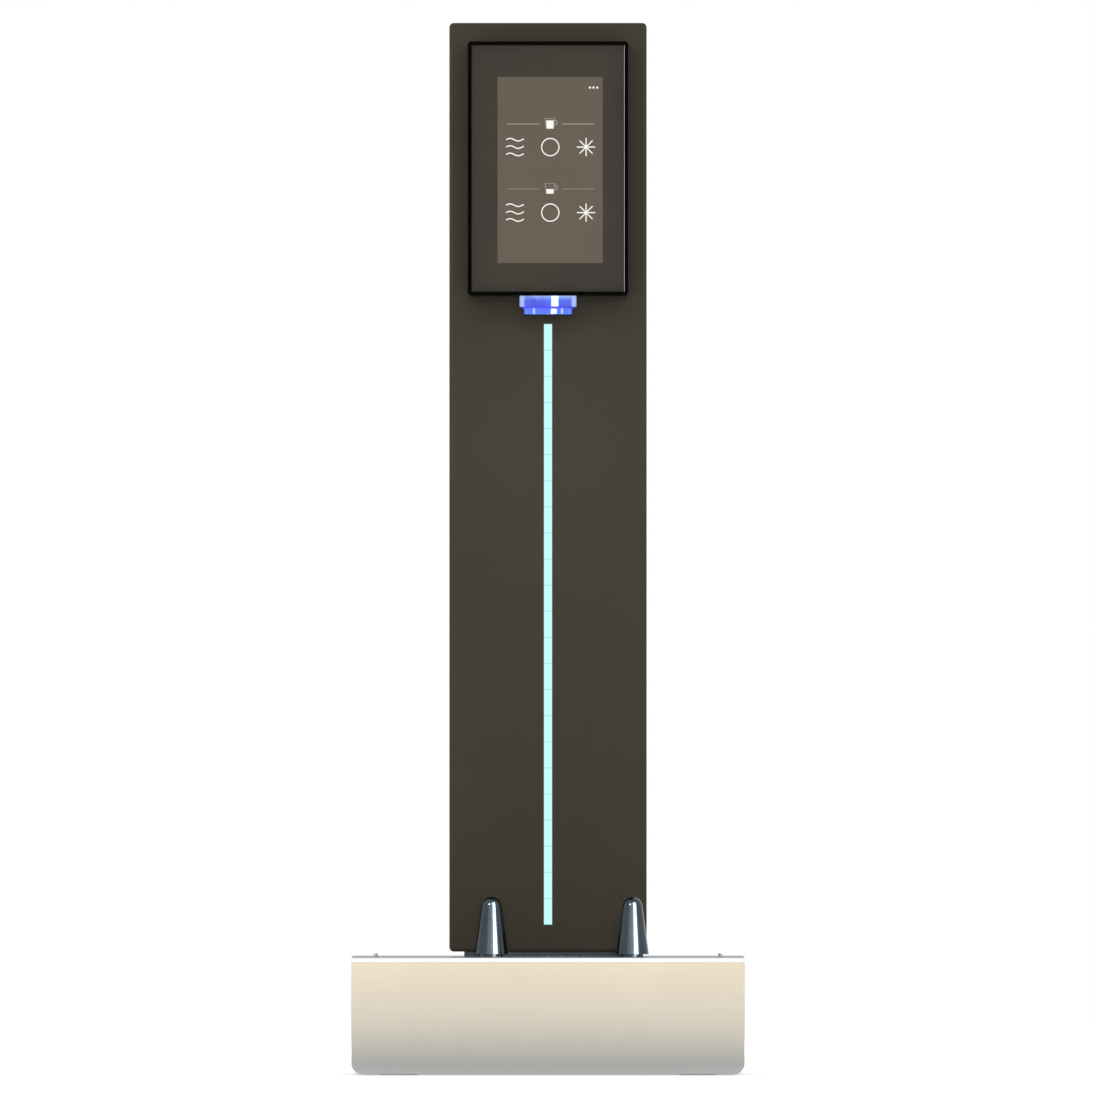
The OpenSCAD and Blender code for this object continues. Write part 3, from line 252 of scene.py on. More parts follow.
def grain(tree, scale, stretch=(1, 1, 1), detail=3.0):    # noise fixed to the object, in features per metre
    place = addNode(tree, "ShaderNodeTexCoord")
    pulled = addNode(tree, "ShaderNodeMapping", {"Vector": place.outputs["Object"], "Scale": stretch})
    noise = addNode(tree, "ShaderNodeTexNoise", {"Vector": pulled.outputs[0], "Scale": scale,
                                                 "Detail": detail})
    return noise.outputs[0]


def spread(tree, share, span):    # noise carried to a span of values
    return mapped(tree, share, grainSpan, span)


def ramped(tree, share, stops):    # colours at their places from 0 to 1
    ramp = addNode(tree, "ShaderNodeValToRGB", {"Fac": share})
    places = ramp.color_ramp.elements
    places[0].position, places[0].color = stops[0]
    places[1].position, places[1].color = stops[-1]
    for position, colour in stops[1:-1]:
        places.new(position).color = colour
    return ramp.outputs[0]


def shades(tree, share, low, high, span=grainSpan):
    return ramped(tree, share, ((span[0], low), (span[1], high)))


def twoShades(tree, look):
    return shades(tree, grain(tree, look["broad"]), look["low"], look["high"])


def blend(tree, share, first, second):    # the first colour where the share is 0, the second where it is 1
    return addNode(tree, "ShaderNodeMix", {0: share, 6: first, 7: second}, data_type="RGBA").outputs[2]


def placeAxes(tree):
    place = addNode(tree, "ShaderNodeTexCoord")
    return addNode(tree, "ShaderNodeSeparateXYZ", {"Vector": place.outputs["Object"]}).outputs


def heightShare(tree, low, high):    # 0 at the height low, 1 at the height high
    return mapped(tree, placeAxes(tree)["Z"], (low, high))


def faceRise(tree):    # 1 on faces that look up, 0 on upright ones, -1 on those that look down
    face = addNode(tree, "ShaderNodeNewGeometry")
    return addNode(tree, "ShaderNodeSeparateXYZ", {"Vector": face.outputs["True Normal"]}).outputs["Z"]


def slantShare(tree):    # 0 where a face is seen straight on, 1 where it is seen edge on
    return addNode(tree, "ShaderNodeLayerWeight", {"Blend": 0.5}).outputs["Facing"]


def surface(name, look):    # two shades, uneven gloss, a fine grain and softened edges
    material, tree, shader = newFinish(name)
    stretch = look.get("stretch", (1, 1, 1))
    broad = grain(tree, look["broad"], stretch)
    fine = grain(tree, look["fine"], stretch, detail=2.0)
    colour = shades(tree, broad, look["low"], look["high"])
    metal = look.get("metal", 0.0)
    # painted reflection by height: colours blended in from the bottom up
    for low, high, shade in look.get("paintedReflection", ()):
        colour = blend(tree, heightShare(tree, low, high), shade, colour)
    # painted darker reflection on faces that look up
    if "top" in look:
        upward = mapped(tree, faceRise(tree), upwardSpan)
        colour = blend(tree, upward, colour, look["top"])
        metal = mapped(tree, upward, target=(metal, look["topMetal"]))
    bump = addNode(tree, "ShaderNodeBump", {"Height": fine, "Strength": look["bump"],
                                            "Distance": look["depth"]})
    if "edge" in look:
        edge = addNode(tree, "ShaderNodeBevel", {"Radius": look["edge"]}, samples=4)
        tree.links.new(edge.outputs[0], bump.inputs["Normal"])
    fill(tree, shader, {"Base Color": colour, "Metallic": metal, "Normal": bump.outputs[0],
                        "Roughness": spread(tree, fine, look["rough"]), **look.get("set", {})})
    return material


# painted reflection: the darker, cooler colour towards the counter stands for the shaded counter mirrored in
# the tucked front, and the lighter very foot is a painted highlight on the bottom edge
satinSteel = {    # its colour turns cooler and darker towards the counter, and lighter at its very foot
    "low": linear(221, 208, 186), "high": linear(227, 214, 192), "broad": 14, "fine": 2600,
    "paintedReflection": ((30 * mm, 72 * mm, linear(204, 198, 184)), (7 * mm, 30 * mm, linear(169, 170, 168)),
             (0, 7 * mm, linear(184, 186, 183))),
    "rough": (0.34, 0.42), "bump": 0.06, "depth": 0.05 * mm, "metal": 1.0, "edge": 0.5 * mm,
}
polishedSteel = {    # a painted darker reflection on faces that look up: a darker colour and less metal there
    "low": linear(242, 246, 248), "high": linear(248, 251, 252), "broad": 20, "fine": 1800,
    "stretch": (0.04, 1, 1),
    "rough": (0.04, 0.08), "bump": 0.02, "depth": 0.02 * mm, "metal": 1.0, "edge": 0.3 * mm,
    "top": linear(114, 121, 128), "topMetal": 0.42, "set": {"Specular IOR Level": 0.0},
}
darkChrome = {
    "low": linear(62, 70, 76), "high": linear(70, 78, 85), "broad": 60, "fine": 900,
    "rough": (0.13, 0.18), "bump": 0.01, "depth": 0.02 * mm, "metal": 1.0,
}
sheetSteel = {
    "low": linear(176, 179, 182), "high": linear(192, 195, 198), "broad": 30, "fine": 2200,
    "stretch": (1, 0.06, 1),
    "rough": (0.26, 0.36), "bump": 0.08, "depth": 0.04 * mm, "metal": 1.0, "edge": 0.3 * mm,
}
darkSteel = {
    "low": linear(80, 85, 91), "high": linear(86, 91, 97), "broad": 30, "fine": 2200,
    "stretch": (0.06, 1, 1),
    "rough": (0.2, 0.28), "bump": 0.05, "depth": 0.03 * mm, "metal": 1.0,
}
blackScrew = {
    "low": linear(26, 26, 27), "high": linear(38, 38, 39), "broad": 900, "fine": 4000,
    "rough": (0.35, 0.5), "bump": 0.1, "depth": 0.03 * mm, "metal": 0.6,
}
towerPaint = {
    "low": linear(58, 54, 45), "high": linear(61, 57, 48), "broad": 9, "fine": 1500,
    "rough": (0.55, 0.68), "bump": 0.16, "depth": 0.05 * mm, "edge": 0.4 * mm,
    "set": {"Specular IOR Level": 0.1},
}
panelGrey = {
    "low": linear(120, 123, 126), "high": linear(132, 135, 138), "broad": 18, "fine": 1500,
    "rough": (0.5, 0.62), "bump": 0.16, "depth": 0.05 * mm, "edge": 0.3 * mm,
    "set": {"Specular IOR Level": 0.3},
}
blackGloss = {
    "low": linear(2, 2, 2), "high": linear(4, 4, 4), "broad": 40, "fine": 700,
    "rough": (0.1, 0.16), "bump": 0.01, "depth": 0.02 * mm, "set": {"Specular IOR Level": 0.02},
}
maskPrint = {
    "low": linear(60, 55, 50), "high": linear(63, 58, 52), "broad": 30, "fine": 900,
    "rough": (0.6, 0.7), "bump": 0.01, "depth": 0.01 * mm, "set": {"Specular IOR Level": 0.05},
}
aluminium = {
    "low": linear(196, 199, 202), "high": linear(210, 213, 216), "broad": 24, "fine": 2000,
    "stretch": (1, 1, 0.05),
    "rough": (0.3, 0.4), "bump": 0.08, "depth": 0.04 * mm, "metal": 1.0,
}
whitePlastic = {
    "low": linear(216, 216, 209), "high": linear(226, 226, 219), "broad": 35, "fine": 2600,
    "rough": (0.36, 0.48), "bump": 0.06, "depth": 0.04 * mm, "edge": 0.4 * mm,
    "set": {"Specular IOR Level": 0.4},
}
waterTube = {
    "low": linear(214, 224, 228), "high": linear(226, 234, 238), "broad": 40, "fine": 1200,
    "rough": (0.18, 0.28), "bump": 0.04, "depth": 0.04 * mm,
    "set": {"Transmission Weight": 0.35, "IOR": 1.45},
}
rubber = {
    "low": linear(24, 24, 25), "high": linear(34, 34, 35), "broad": 120, "fine": 2400,
    "rough": (0.75, 0.88), "bump": 0.3, "depth": 0.06 * mm, "set": {"Specular IOR Level": 0.25},
}
clearRubber = {
    "low": linear(232, 232, 230), "high": linear(242, 242, 240), "broad": 120, "fine": 2400,
    "rough": (0.3, 0.4), "bump": 0.15, "depth": 0.05 * mm,
    "set": {"Transmission Weight": 0.8, "IOR": 1.4},
}
blackPlastic = {
    "low": linear(24, 24, 25), "high": linear(32, 32, 33), "broad": 60, "fine": 3200,
    "rough": (0.45, 0.58), "bump": 0.2, "depth": 0.05 * mm, "edge": 0.3 * mm,
    "set": {"Specular IOR Level": 0.3},
}
brass = {
    "low": linear(186, 152, 98), "high": linear(206, 172, 114), "broad": 60, "fine": 1800,
    "stretch": (1, 1, 0.15),
    "rough": (0.22, 0.34), "bump": 0.08, "depth": 0.04 * mm, "metal": 1.0, "edge": 0.3 * mm,
}
boardGreen = {
    "low": linear(20, 74, 42), "high": linear(30, 94, 56), "broad": 260, "fine": 1400,
    "stretch": (1, 1, 0.35),
    "rough": (0.3, 0.42), "bump": 0.1, "depth": 0.04 * mm,
}


def lit(name, look, colourOf):    # a finish that gives light of its own
    material, tree, shader = newFinish(name)
    rough = look["rough"]
    if isinstance(rough, tuple):
        rough = spread(tree, grain(tree, look["fine"]), rough)
    fill(tree, shader, {"Emission Color": colourOf(tree, look), "Emission Strength": look["glow"],
                        "Base Color": look["unlit"], "Roughness": rough, **look["set"]})
    return material


lightBar = {
    "cell": linear(198, 252, 253), "joint": linear(168, 234, 240), "cells": 23.0, "jointShare": 0.03,
    "unlit": linear(10, 12, 12), "glow": 1.0, "fine": 900, "rough": (0.3, 0.42),
    "set": {"Specular IOR Level": 0.05},
}


def barColour(tree, look):    # a milky strip: even light in each cell, a darker line at each joint
    low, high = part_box("light_strip")
    cells = worked(tree, "MULTIPLY", heightShare(tree, low.z, high.z), look["cells"])
    joint = look["jointShare"]
    return shades(tree, worked(tree, "PINGPONG", cells, 0.5), look["joint"], look["cell"], (joint / 2, joint))


screenGlow = {    # a dim backlit panel, a little brighter in places
    "low": linear(96, 88, 76), "high": linear(100, 92, 79), "unlit": linear(20, 19, 17), "glow": 1.0,
    "broad": 12, "fine": 4000, "rough": (0.25, 0.35), "set": {"Specular IOR Level": 0.1},
}
symbolLight = {
    "low": linear(248, 245, 238), "high": linear(254, 251, 246), "unlit": linear(30, 30, 30), "glow": 1.0,
    "broad": 3000, "rough": 0.5, "set": {"Specular IOR Level": 0.1},
}
lineLight = {**symbolLight, "low": linear(168, 160, 148), "high": linear(176, 168, 156)}

acrylicBend = 1.49    # index of refraction
spoutBlue = linear(78, 122, 228)
spoutGlow = {
    "unlit": linear(48, 84, 206), "glow": 0.66, "fine": 700, "rough": (0.06, 0.12),
    "stops": ((0.0, spoutBlue), (0.3, linear(92, 104, 236)), (0.6, spoutBlue), (1.0, linear(120, 160, 248))),
    # painted highlights: pale upright streaks glowing on the tip
    "highlightStreak": linear(222, 232, 255), "streaks": 5, "highlightStreakShare": (0.02, 0.06),
    "set": {"Transmission Weight": 0.35, "IOR": acrylicBend},
}


# the mask of the painted highlight streaks
def highlightStreakShare(tree, nodeName, look):    # 1 on upright streaks round a turned piece, 0 between them
    low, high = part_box(nodeName)
    axes = placeAxes(tree)
    across = worked(tree, "SUBTRACT", axes["X"], (low.x + high.x) / 2)
    ahead = worked(tree, "SUBTRACT", (low.y + high.y) / 2, axes["Y"])
    angle = worked(tree, "ARCTAN2", across, ahead)
    turns = worked(tree, "MULTIPLY_ADD", angle, look["streaks"] / (2 * math.pi), 0.5)
    return mapped(tree, worked(tree, "PINGPONG", turns, 0.5), look["highlightStreakShare"], (1.0, 0.0))


def spoutColour(tree, look):    # milky acrylic lit from above: violet in the middle of its height
    share = heightShare(tree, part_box("spout")[0].z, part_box("head_housing")[0].z)
    colour = ramped(tree, share, look["stops"])
    # painted highlights: the pale streak colour glows over the blue
    return blend(tree, highlightStreakShare(tree, "spout", look), colour, look["highlightStreak"])


collarGlow = {
    "unlit": linear(36, 52, 150), "glow": 0.8, "fine": 500, "rough": (0.03, 0.06),
    "stops": ((0.0, linear(92, 80, 228)), (0.3, linear(74, 98, 216)),
              (0.65, linear(88, 132, 238)), (1.0, linear(198, 228, 255))),
    "cloud": linear(46, 50, 160), "cloudScale": 110, "cloudDepth": 0.75,
    # rim: a painted reflection, a pale colour that glows where the upright rims are seen at a slant
    "rim": linear(172, 188, 238), "rimReflectionShare": (0.4, 0.52), "uprightWithin": 0.4,
    "set": {"Transmission Weight": 0.25, "IOR": acrylicBend},
}


def collarColour(tree, look):    # clear acrylic: the light enters at its top, and its upright rims look pale
    share = heightShare(tree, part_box("spout_collar")[0].z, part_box("head_housing")[0].z)
    cloud = spread(tree, grain(tree, look["cloudScale"], detail=1.0), (0.0, look["cloudDepth"]))
    colour = blend(tree, cloud, ramped(tree, share, look["stops"]), look["cloud"])
    # painted reflection: the pale rim colour glows on upright faces seen at a slant
    rim = mapped(tree, slantShare(tree), look["rimReflectionShare"])
    upright = worked(tree, "COMPARE", faceRise(tree), 0.0, look["uprightWithin"])
    return blend(tree, worked(tree, "MULTIPLY", rim, upright), colour, look["rim"])


coverGlass = {
    "low": linear(246, 247, 247), "high": linear(250, 251, 251), "broad": 20,
    "slant": (0.5, 1.0),    # from clear to mirror, where 0 is straight on and 1 is edge on
    "rise": 3.0,            # how late in that span the mirror comes
}


def clearGlassFinish(look):    # coated glass: clear from the front, a mirror at a slant
    material, tree, shader = newFinish("clearGlass")
    slant = mapped(tree, slantShare(tree), look["slant"])
    fill(tree, shader, {"Base Color": twoShades(tree, look), "Metallic": 1.0, "Roughness": 0.0,
                        "Alpha": worked(tree, "POWER", slant, look["rise"])})
    return material


finishes = {
    "satin_steel": surface("satinSteel", satinSteel),
    "polished_steel": surface("polishedSteel", polishedSteel),
    "chrome": surface("darkChrome", darkChrome),
    "sheet_steel": surface("sheetSteel", sheetSteel),
    "black_screws": surface("blackScrew", blackScrew),
    "tower_paint": surface("towerPaint", towerPaint),
    "panel_grey": surface("panelGrey", panelGrey),
    "black_gloss": surface("blackGloss", blackGloss),
    "clear_glass": clearGlassFinish(coverGlass),
    "mask_print": surface("maskPrint", maskPrint),
    "lit_screen": lit("litScreen", screenGlow, twoShades),
    "lit_bar": lit("litBar", lightBar, barColour),
    "lit_clear": lit("litSpout", spoutGlow, spoutColour),
    "aluminium": surface("aluminium", aluminium),
    "white_plastic": surface("whitePlastic", whitePlastic),
    "water_tube": surface("waterTube", waterTube),
    "rubber": surface("rubber", rubber),
    "black_plastic": surface("blackPlastic", blackPlastic),
    "brass": surface("brass", brass),
    "board_green": surface("boardGreen", boardGreen),
}
symbolWhite = lit("litSymbol", symbolLight, twoShades)
symbolDim = lit("dimSymbol", lineLight, twoShades)
ownFinishes = {
    "spout_collar": lit("litCollar", collarGlow, collarColour),
    "rubber_feet": surface("clearRubber", clearRubber),
    "plinth_plate": surface("darkSteel", darkSteel),
}

slotOf = {part["node"]: part["material_slot"] for part in frame["record"]["subparts"]}
for nodeName, slotName in slotOf.items():
    for place in cadNodes[nodeName].material_slots:
        place.material = ownFinishes.get(nodeName, finishes[slotName])
for nodeName in ("left_post", "right_post", "spout", "spout_collar"):
    polishedPieces.objects.link(cadNodes[nodeName])
for nodeName in ("left_post", "right_post"):
    polishedPosts.objects.link(cadNodes[nodeName])
upperTower.objects.link(cadNodes["tower_shell"])
print("finishes:", len(finishes) + len(ownFinishes), "on", len(slotOf), "nodes")


# Mesh helpers: each makes closed solids

smoothWithin = math.radians(35)    # edges sharper than this stay sharp


def pieceFrom(build, name, slotName, material=None, smooth=False):
    mesh = bpy.data.meshes.new(name)
    bmesh.ops.recalc_face_normals(build, faces=build.faces)
    build.to_mesh(mesh)
    build.free()
    mesh.materials.append(material or finishes[slotName])
    if smooth:
        mesh.shade_smooth()
        mesh.set_sharp_from_angle(angle=smoothWithin)
    piece = bpy.data.objects.new(name, mesh)
    bpy.context.scene.collection.objects.link(piece)
    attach(piece, mainBody)
    return piece


def joinLoops(build, here, there):    # a band of faces between two loops of points
    count = len(here)
    for k in range(count):
        n = (k + 1) % count
        build.faces.new((here[k], here[n], there[n], there[k]))


def plate(build, outline, front, back):    # a flat outline in x and z, from the front y to the back y
    near, far = [[build.verts.new((x, y, z)) for x, z in outline] for y in (front, back)]
    build.faces.new(near)
    build.faces.new(far[::-1])
    for i in range(len(outline)):
        j = (i + 1) % len(outline)
        build.faces.new((near[i], far[i], far[j], near[j]))


def strokeSides(points, width, closed):
    left, right = [], []
    count = len(points)
    for i in range(count):
        before = points[i - 1] if closed or i else points[i]
        after = points[(i + 1) % count] if closed or i < count - 1 else points[i]
        dx, dz = after[0] - before[0], after[1] - before[1]
        size = math.hypot(dx, dz)
        offset = (-dz / size * width / 2, dx / size * width / 2)
        left.append((points[i][0] + offset[0], points[i][1] + offset[1]))
        right.append((points[i][0] - offset[0], points[i][1] - offset[1]))
    return left, right


def stroke(build, points, width, front, back, closed=False):    # a flat band of even width along a line
    rows = []
    for a, b in zip(*strokeSides(points, width, closed)):
        corners = ((front, a), (front, b), (back, b), (back, a))
        rows.append([build.verts.new((p[0], y, p[1])) for y, p in corners])
    for here, there in zip(rows, rows[1:]):
        joinLoops(build, here, there)
    if closed:
        joinLoops(build, rows[-1], rows[0])
    else:
        build.faces.new(rows[0])
        build.faces.new(rows[-1][::-1])


def lathe(build, profile, turns, place):    # a closed ring of (radius, height) points, turned about an axis
    rings = []
    for i in range(turns):
        angle = 2 * math.pi * i / turns
        across, up = math.cos(angle), math.sin(angle)
        rings.append([build.verts.new(place(r * across, r * up, h)) for r, h in profile])
    for i in range(turns):
        joinLoops(build, rings[i], rings[(i + 1) % turns])


def circlePoints(x, z, radius, count=48):
    angles = [2 * math.pi * i / count for i in range(count)]
    return [(x + radius * math.cos(a), z + radius * math.sin(a)) for a in angles]


# Symbols: waves for still water, a ring for sparkling, a star for chilled

def drawWaves(build, x, z, look, front, back):
    steps = 28
    for row in (-1, 0, 1):
        line = []
        for i in range(steps + 1):
            share = i / steps
            rise = look["swing"] * math.sin(2 * math.pi * look["waves"] * share)
            line.append((x + (share - 0.5) * look["width"], z + row * look["waveGap"] + rise))
        stroke(build, line, look["waveLine"], front, back)


def drawRing(build, x, z, look, front, back):
    middle = circlePoints(x, z, look["ringRadius"] - look["ringLine"] / 2)
    stroke(build, middle, look["ringLine"], front, back, closed=True)


def drawStar(build, x, z, look, front, back):
    rays, half = 8, look["rayLine"] / 2
    notch = half / math.sin(math.pi / rays)
    outline = []
    for i in range(rays):
        angle = 2 * math.pi * i / rays
        along, across = (math.cos(angle), math.sin(angle)), (-math.sin(angle), math.cos(angle))
        for side in (-half, half):
            outline.append((x + along[0] * look["rayLength"] + across[0] * side,
                            z + along[1] * look["rayLength"] + across[1] * side))
        between = angle + math.pi / rays
        outline.append((x + notch * math.cos(between), z + notch * math.sin(between)))
    plate(build, outline, front, back)


def drawMug(fills, lines, x, z, look, front, back, filled):    # a thin outline, with its water in front of it
    wide, thin = look["mugWidth"] / 2, look["mugLine"]
    rim, foot, narrow = z + look["mugRim"], z - look["mugFoot"], wide * look["mugTaper"]
    outline = [(x - wide, rim), (x - narrow, foot), (x + narrow, foot), (x + wide, rim)]
    stroke(lines, outline, thin, front, back, closed=True)
    low, high = [wide * share for share in look["waterShares"]]
    water = [(x - low, foot), (x + low, foot), (x + high, foot + filled), (x - high, foot + filled)]
    plate(fills, water, front - look["thick"] / 2, back)
    gripX, gripZ = look["mugGrip"]
    middleX, middleZ = x + wide * look["gripAt"][0], z + look["gripAt"][1] * look["mugRim"]
    steps = 10
    angles = [math.radians(look["gripTurn"] * (2 * i / steps - 1)) for i in range(steps + 1)]
    bow = [(middleX + gripX * math.cos(a), middleZ + gripZ * math.sin(a)) for a in angles]
    stroke(lines, bow, thin, front, back)


screenSymbols = {
    "thick": 0.05 * mm,
    "columns": (-22.4 * mm, 0.05 * mm, 22.85 * mm),
    "rows": (14.62 * mm, -27.1 * mm),
    "dividers": (29.35 * mm, -12.05 * mm),
    "dividerSpan": ((-27.7 * mm, -6.9 * mm), (7.6 * mm, 28.15 * mm)),
    "dividerLines": (0.45 * mm, 0.25 * mm),
    "mugAt": -0.15 * mm,
    "mugFill": (5.2 * mm, 2.9 * mm),
    "mugWidth": 6.0 * mm, "mugRim": 3.45 * mm, "mugFoot": 2.97 * mm, "mugLine": 0.42 * mm,
    "mugTaper": 0.8, "waterShares": (0.7, 0.79),
    "mugGrip": (1.8 * mm, 1.55 * mm), "gripAt": (0.95, 0.27), "gripTurn": 80,
    "dotsAt": (27.6 * mm, 52.5 * mm), "dotGap": 2.35 * mm, "dotRadius": 0.7 * mm, "dotSides": 16,
    "width": 11.3 * mm, "waveGap": 4.7 * mm, "swing": 0.85 * mm, "waves": 1.1, "waveLine": 0.72 * mm,
    "ringRadius": 5.87 * mm, "ringLine": 0.72 * mm, "rayLength": 5.85 * mm, "rayLine": 0.72 * mm,
}


def makeScreenSymbols(look):
    low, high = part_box("display_panel")
    midX, midZ = (low.x + high.x) / 2, (low.z + high.z) / 2
    back = low.y
    front = back - look["thick"]
    waves, rings, stars, mugs, lines, dots = [bmesh.new() for _ in range(6)]
    for row in look["rows"]:
        drawWaves(waves, midX + look["columns"][0], midZ + row, look, front, back)
        drawRing(rings, midX + look["columns"][1], midZ + row, look, front, back)
        drawStar(stars, midX + look["columns"][2], midZ + row, look, front, back)
    for divider, filled, thin in zip(look["dividers"], look["mugFill"], look["dividerLines"]):
        drawMug(mugs, lines, midX + look["mugAt"], midZ + divider, look, front, back, filled)
        for start, end in look["dividerSpan"]:
            ends = [(midX + start, midZ + divider), (midX + end, midZ + divider)]
            stroke(lines, ends, thin, front, back)
    x, z = look["dotsAt"]
    for i in (-1, 0, 1):
        dot = circlePoints(midX + x + i * look["dotGap"], midZ + z, look["dotRadius"], look["dotSides"])
        plate(dots, dot, front, back)
    named = {"waveSymbols": waves, "ringSymbols": rings, "starSymbols": stars,
             "mugSymbols": mugs, "dividerLines": lines, "menuDots": dots}
    for name, build in named.items():
        pieceFrom(build, name, "lit_screen", symbolDim if name == "dividerLines" else symbolWhite)


makeScreenSymbols(screenSymbols)


coverPane = {"gap": 0.05 * mm, "bevel": 0.5 * mm, "steps": 3, "nearly": 1e-6}
paneEdge = {
    "low": linear(2, 2, 2), "high": linear(4, 4, 4), "broad": 40, "fine": 700,
    "rough": (0.1, 0.14), "bump": 0.01, "depth": 0.02 * mm, "set": {"Specular IOR Level": 0.35},
}


def makeCoverPane(look):    # the glass has a blackened bevel and stops just short of the print behind it
    low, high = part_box("cover_glass")
    build = bmesh.new()
    outline = [(low.x, low.z), (high.x, low.z), (high.x, high.z), (low.x, high.z)]
    plate(build, outline, low.y, high.y - look["gap"])
    build.edges.ensure_lookup_table()
    front = [e for e in build.edges if all(abs(v.co.y - low.y) < look["nearly"] for v in e.verts)]
    made = bmesh.ops.bevel(build, geom=front, offset=look["bevel"], segments=look["steps"], profile=0.5,
                           affect="EDGES")
    for face in made["faces"]:
        face.material_index = 1
    pane = pieceFrom(build, "coverPane", "clear_glass")
    pane.data.materials.append(surface("paneEdge", paneEdge))
    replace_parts(pane, "cover_glass")
    polishedPieces.objects.link(pane)


makeCoverPane(coverPane)
print("screen: symbols and cover pane")


valveSpring = {"turns": 6, "stepsPerTurn": 24, "sides": 8, "wire": 0.4 * mm, "flatTurns": 0.75}


def makeSpring(water, look):    # a wire helix with closed ends
    node = water + "_spring"
    low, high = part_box(node)
    middle = (low + high) / 2
    wire = look["wire"]
    radius = (high.x - low.x) / 2 - wire
    bottom, top = low.z + wire, high.z - wire
    steps = look["turns"] * look["stepsPerTurn"]
    flat = look["flatTurns"] / look["turns"]
    build = bmesh.new()
    rows = []
    for i in range(steps + 1):
        angle = 2 * math.pi * i / look["stepsPerTurn"]
        rise = min(1, max(0, (i / steps - flat / 2) / (1 - flat)))
        row = []
        for k in range(look["sides"]):
            around = 2 * math.pi * k / look["sides"]
            reach = radius + wire * math.cos(around)
            x, y = middle.x + reach * math.cos(angle), middle.y + reach * math.sin(angle)
            row.append(build.verts.new((x, y, bottom + rise * (top - bottom) + wire * math.sin(around))))
        rows.append(row)
    for here, there in zip(rows, rows[1:]):
        joinLoops(build, here, there)
    build.faces.new(rows[0])
    build.faces.new(rows[-1][::-1])
    spring = pieceFrom(build, water + "SpringCoil", slotOf[node], smooth=True)
    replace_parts(spring, node)
    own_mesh(spring)


waters = ("still", "sparkling", "chilled")
for waterName in waters:
    makeSpring(waterName, valveSpring)
print("valves:", len(waters), "springs")


# Back of the tower and of the base

rearScrew = {
    "headRadius": 2.8 * mm, "headHeight": 2.0 * mm, "shankRadius": 1.5 * mm, "shankLength": 8 * mm,
    "crown": ((0.7, 1.0), (0.92, 0.7), (1.0, 0.3)),    # shares of the head's radius and height
    "keyHalf": 1.0 * mm, "keyDepth": 1.2 * mm, "turns": 24, "inset": 10 * mm,
}


def turned(build, rings, turns, place):    # rings of radius, height and whether six-sided, with closed ends
    loops = []
    for radius, height, sixSided in rings:
        loop = []
        for i in range(turns):
            angle = 2 * math.pi * i / turns
            reach = radius / math.cos(angle % (math.pi / 3) - math.pi / 6) if sixSided else radius
            loop.append(build.verts.new(place(reach * math.cos(angle), reach * math.sin(angle), height)))
        loops.append(loop)
    for here, there in zip(loops, loops[1:]):
        joinLoops(build, here, there)
    build.faces.new(loops[0])
    build.faces.new(loops[-1][::-1])


def makeRearScrews(look):    # button heads with a socket for a six-sided key
    low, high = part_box("rear_screws")
    head, top, seat = look["headRadius"], look["headHeight"], high.y - look["headHeight"]
    key, shank = look["keyHalf"], look["shankRadius"]
    rings = [(key, top - look["keyDepth"], True), (key, top, True)]
    rings += [(head * across, top * up, False) for across, up in look["crown"]]
    rings += [(head, 0, False), (shank, 0, False), (shank, -look["shankLength"], False)]
    seam = (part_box("connection_panel")[1].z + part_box("rear_cover")[0].z) / 2
    lowest, highest, inset = low.z + head, high.z - head, look["inset"]
    build = bmesh.new()
    for x in (low.x + head, high.x - head):
        for z in (lowest, seam - inset, seam + inset, (seam + highest + inset) / 2, highest):
            turned(build, rings, look["turns"], lambda a, b, h: (x + a, seat + h, z + b))
    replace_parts(pieceFrom(build, "rearScrews", "black_screws", smooth=True), "rear_screws")


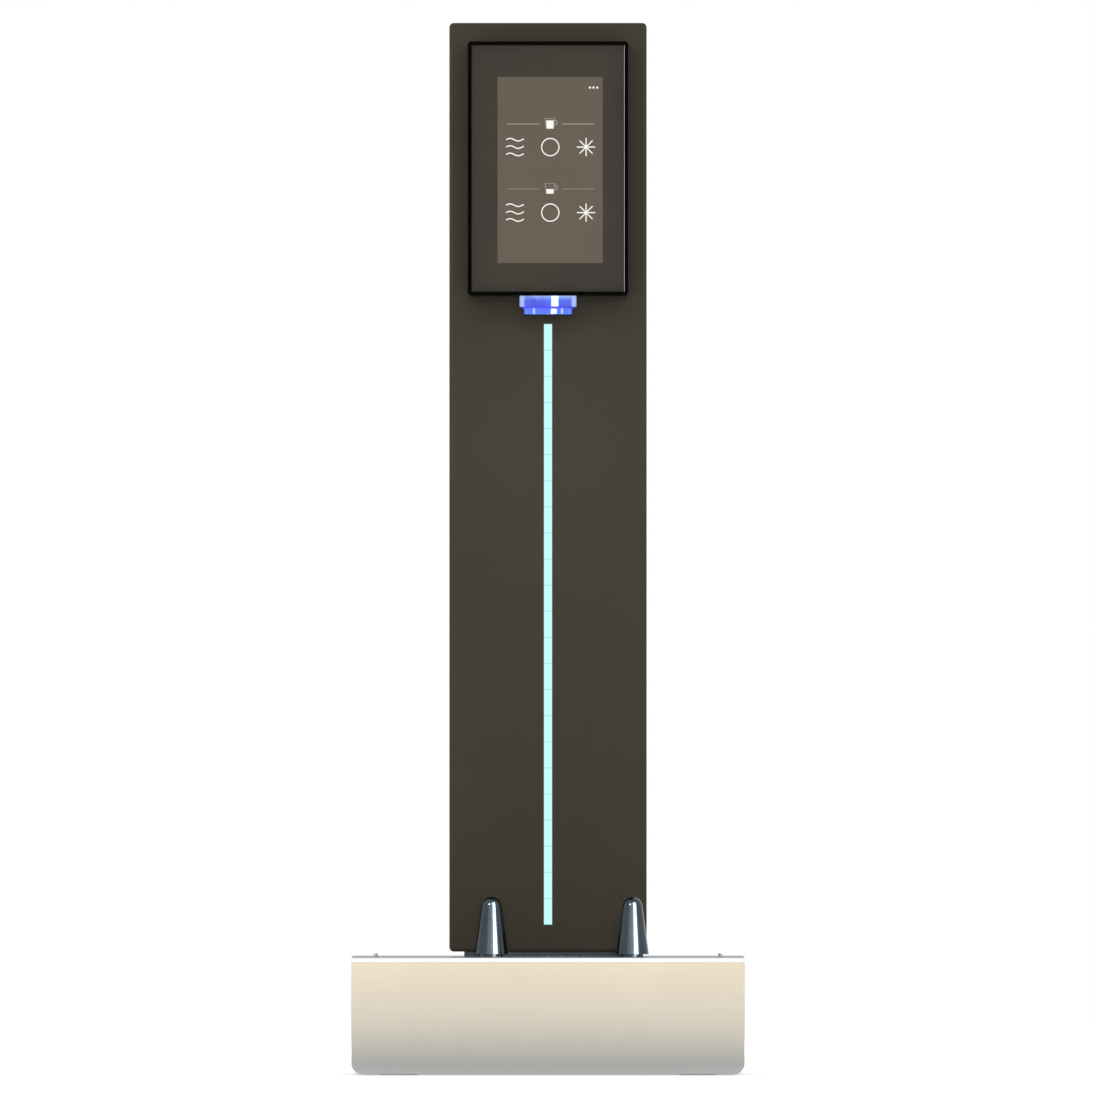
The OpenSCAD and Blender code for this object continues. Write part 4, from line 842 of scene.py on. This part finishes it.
portMarks = {
    "rise": 18 * mm, "thick": 0.05 * mm,
    "width": 6.4 * mm, "waveGap": 2.4 * mm, "swing": 0.5 * mm, "waves": 1.1, "waveLine": 0.55 * mm,
    "ringRadius": 3.3 * mm, "ringLine": 0.6 * mm, "rayLength": 3.2 * mm, "rayLine": 0.5 * mm,
}
releaseCollet = {
    "inner": 4.3 * mm, "outer": 5.8 * mm, "height": 1.2 * mm, "turns": 32,
    "shoulder": 0.6, "chamfer": 0.4, "lead": 0.2,    # shares of its height
}


def makeInlets(look, collet):    # a release collet on each inlet, and above it the sign of its water
    low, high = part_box("inlet_fittings")
    half = (high.z - low.z) / 2
    middle, face = (low.z + high.z) / 2, high.y
    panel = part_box("connection_panel")[1].y
    inner, outer, top = collet["inner"], collet["outer"], collet["height"]
    profile = [(inner, 0), (outer, 0), (outer, top * collet["shoulder"]),
               (outer - top * collet["chamfer"], top), (inner + top * collet["lead"], top)]
    collets, marks = bmesh.new(), bmesh.new()
    columns = (low.x + half, (low.x + high.x) / 2, high.x - half)
    for x, draw in zip(columns, (drawWaves, drawRing, drawStar)):
        lathe(collets, profile, collet["turns"], lambda a, b, h: (x + a, face + h, middle + b))
        draw(marks, x, middle + look["rise"], look, panel, panel + look["thick"])
    pieceFrom(collets, "releaseCollets", "black_plastic", smooth=True)
    pieceFrom(marks, "portMarks", "white_plastic")


mainsContacts = {
    "depth": 17 * mm, "length": 10 * mm, "halfWidth": 1.0 * mm, "halfHeight": 2.4 * mm,
    "at": ((-7 * mm, -2 * mm), (0, 2.5 * mm), (7 * mm, -2 * mm)),
}


def makeMainsContacts(look):    # three blades on the floor of the socket
    low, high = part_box("mains_inlet")
    x, z, bottom = (low.x + high.x) / 2, (low.z + high.z) / 2, high.y - look["depth"]
    wide, tall = look["halfWidth"], look["halfHeight"]
    build = bmesh.new()
    for dx, dz in look["at"]:
        outline = [(x + dx + a * wide, z + dz + b * tall) for a, b in ((-1, -1), (1, -1), (1, 1), (-1, 1))]
        plate(build, outline, bottom, bottom + look["length"])
    pieceFrom(build, "mainsContacts", "brass")


makeRearScrews(rearScrew)
makeInlets(portMarks, releaseCollet)
makeMainsContacts(mainsContacts)
print("back: screws, inlets and mains contacts")
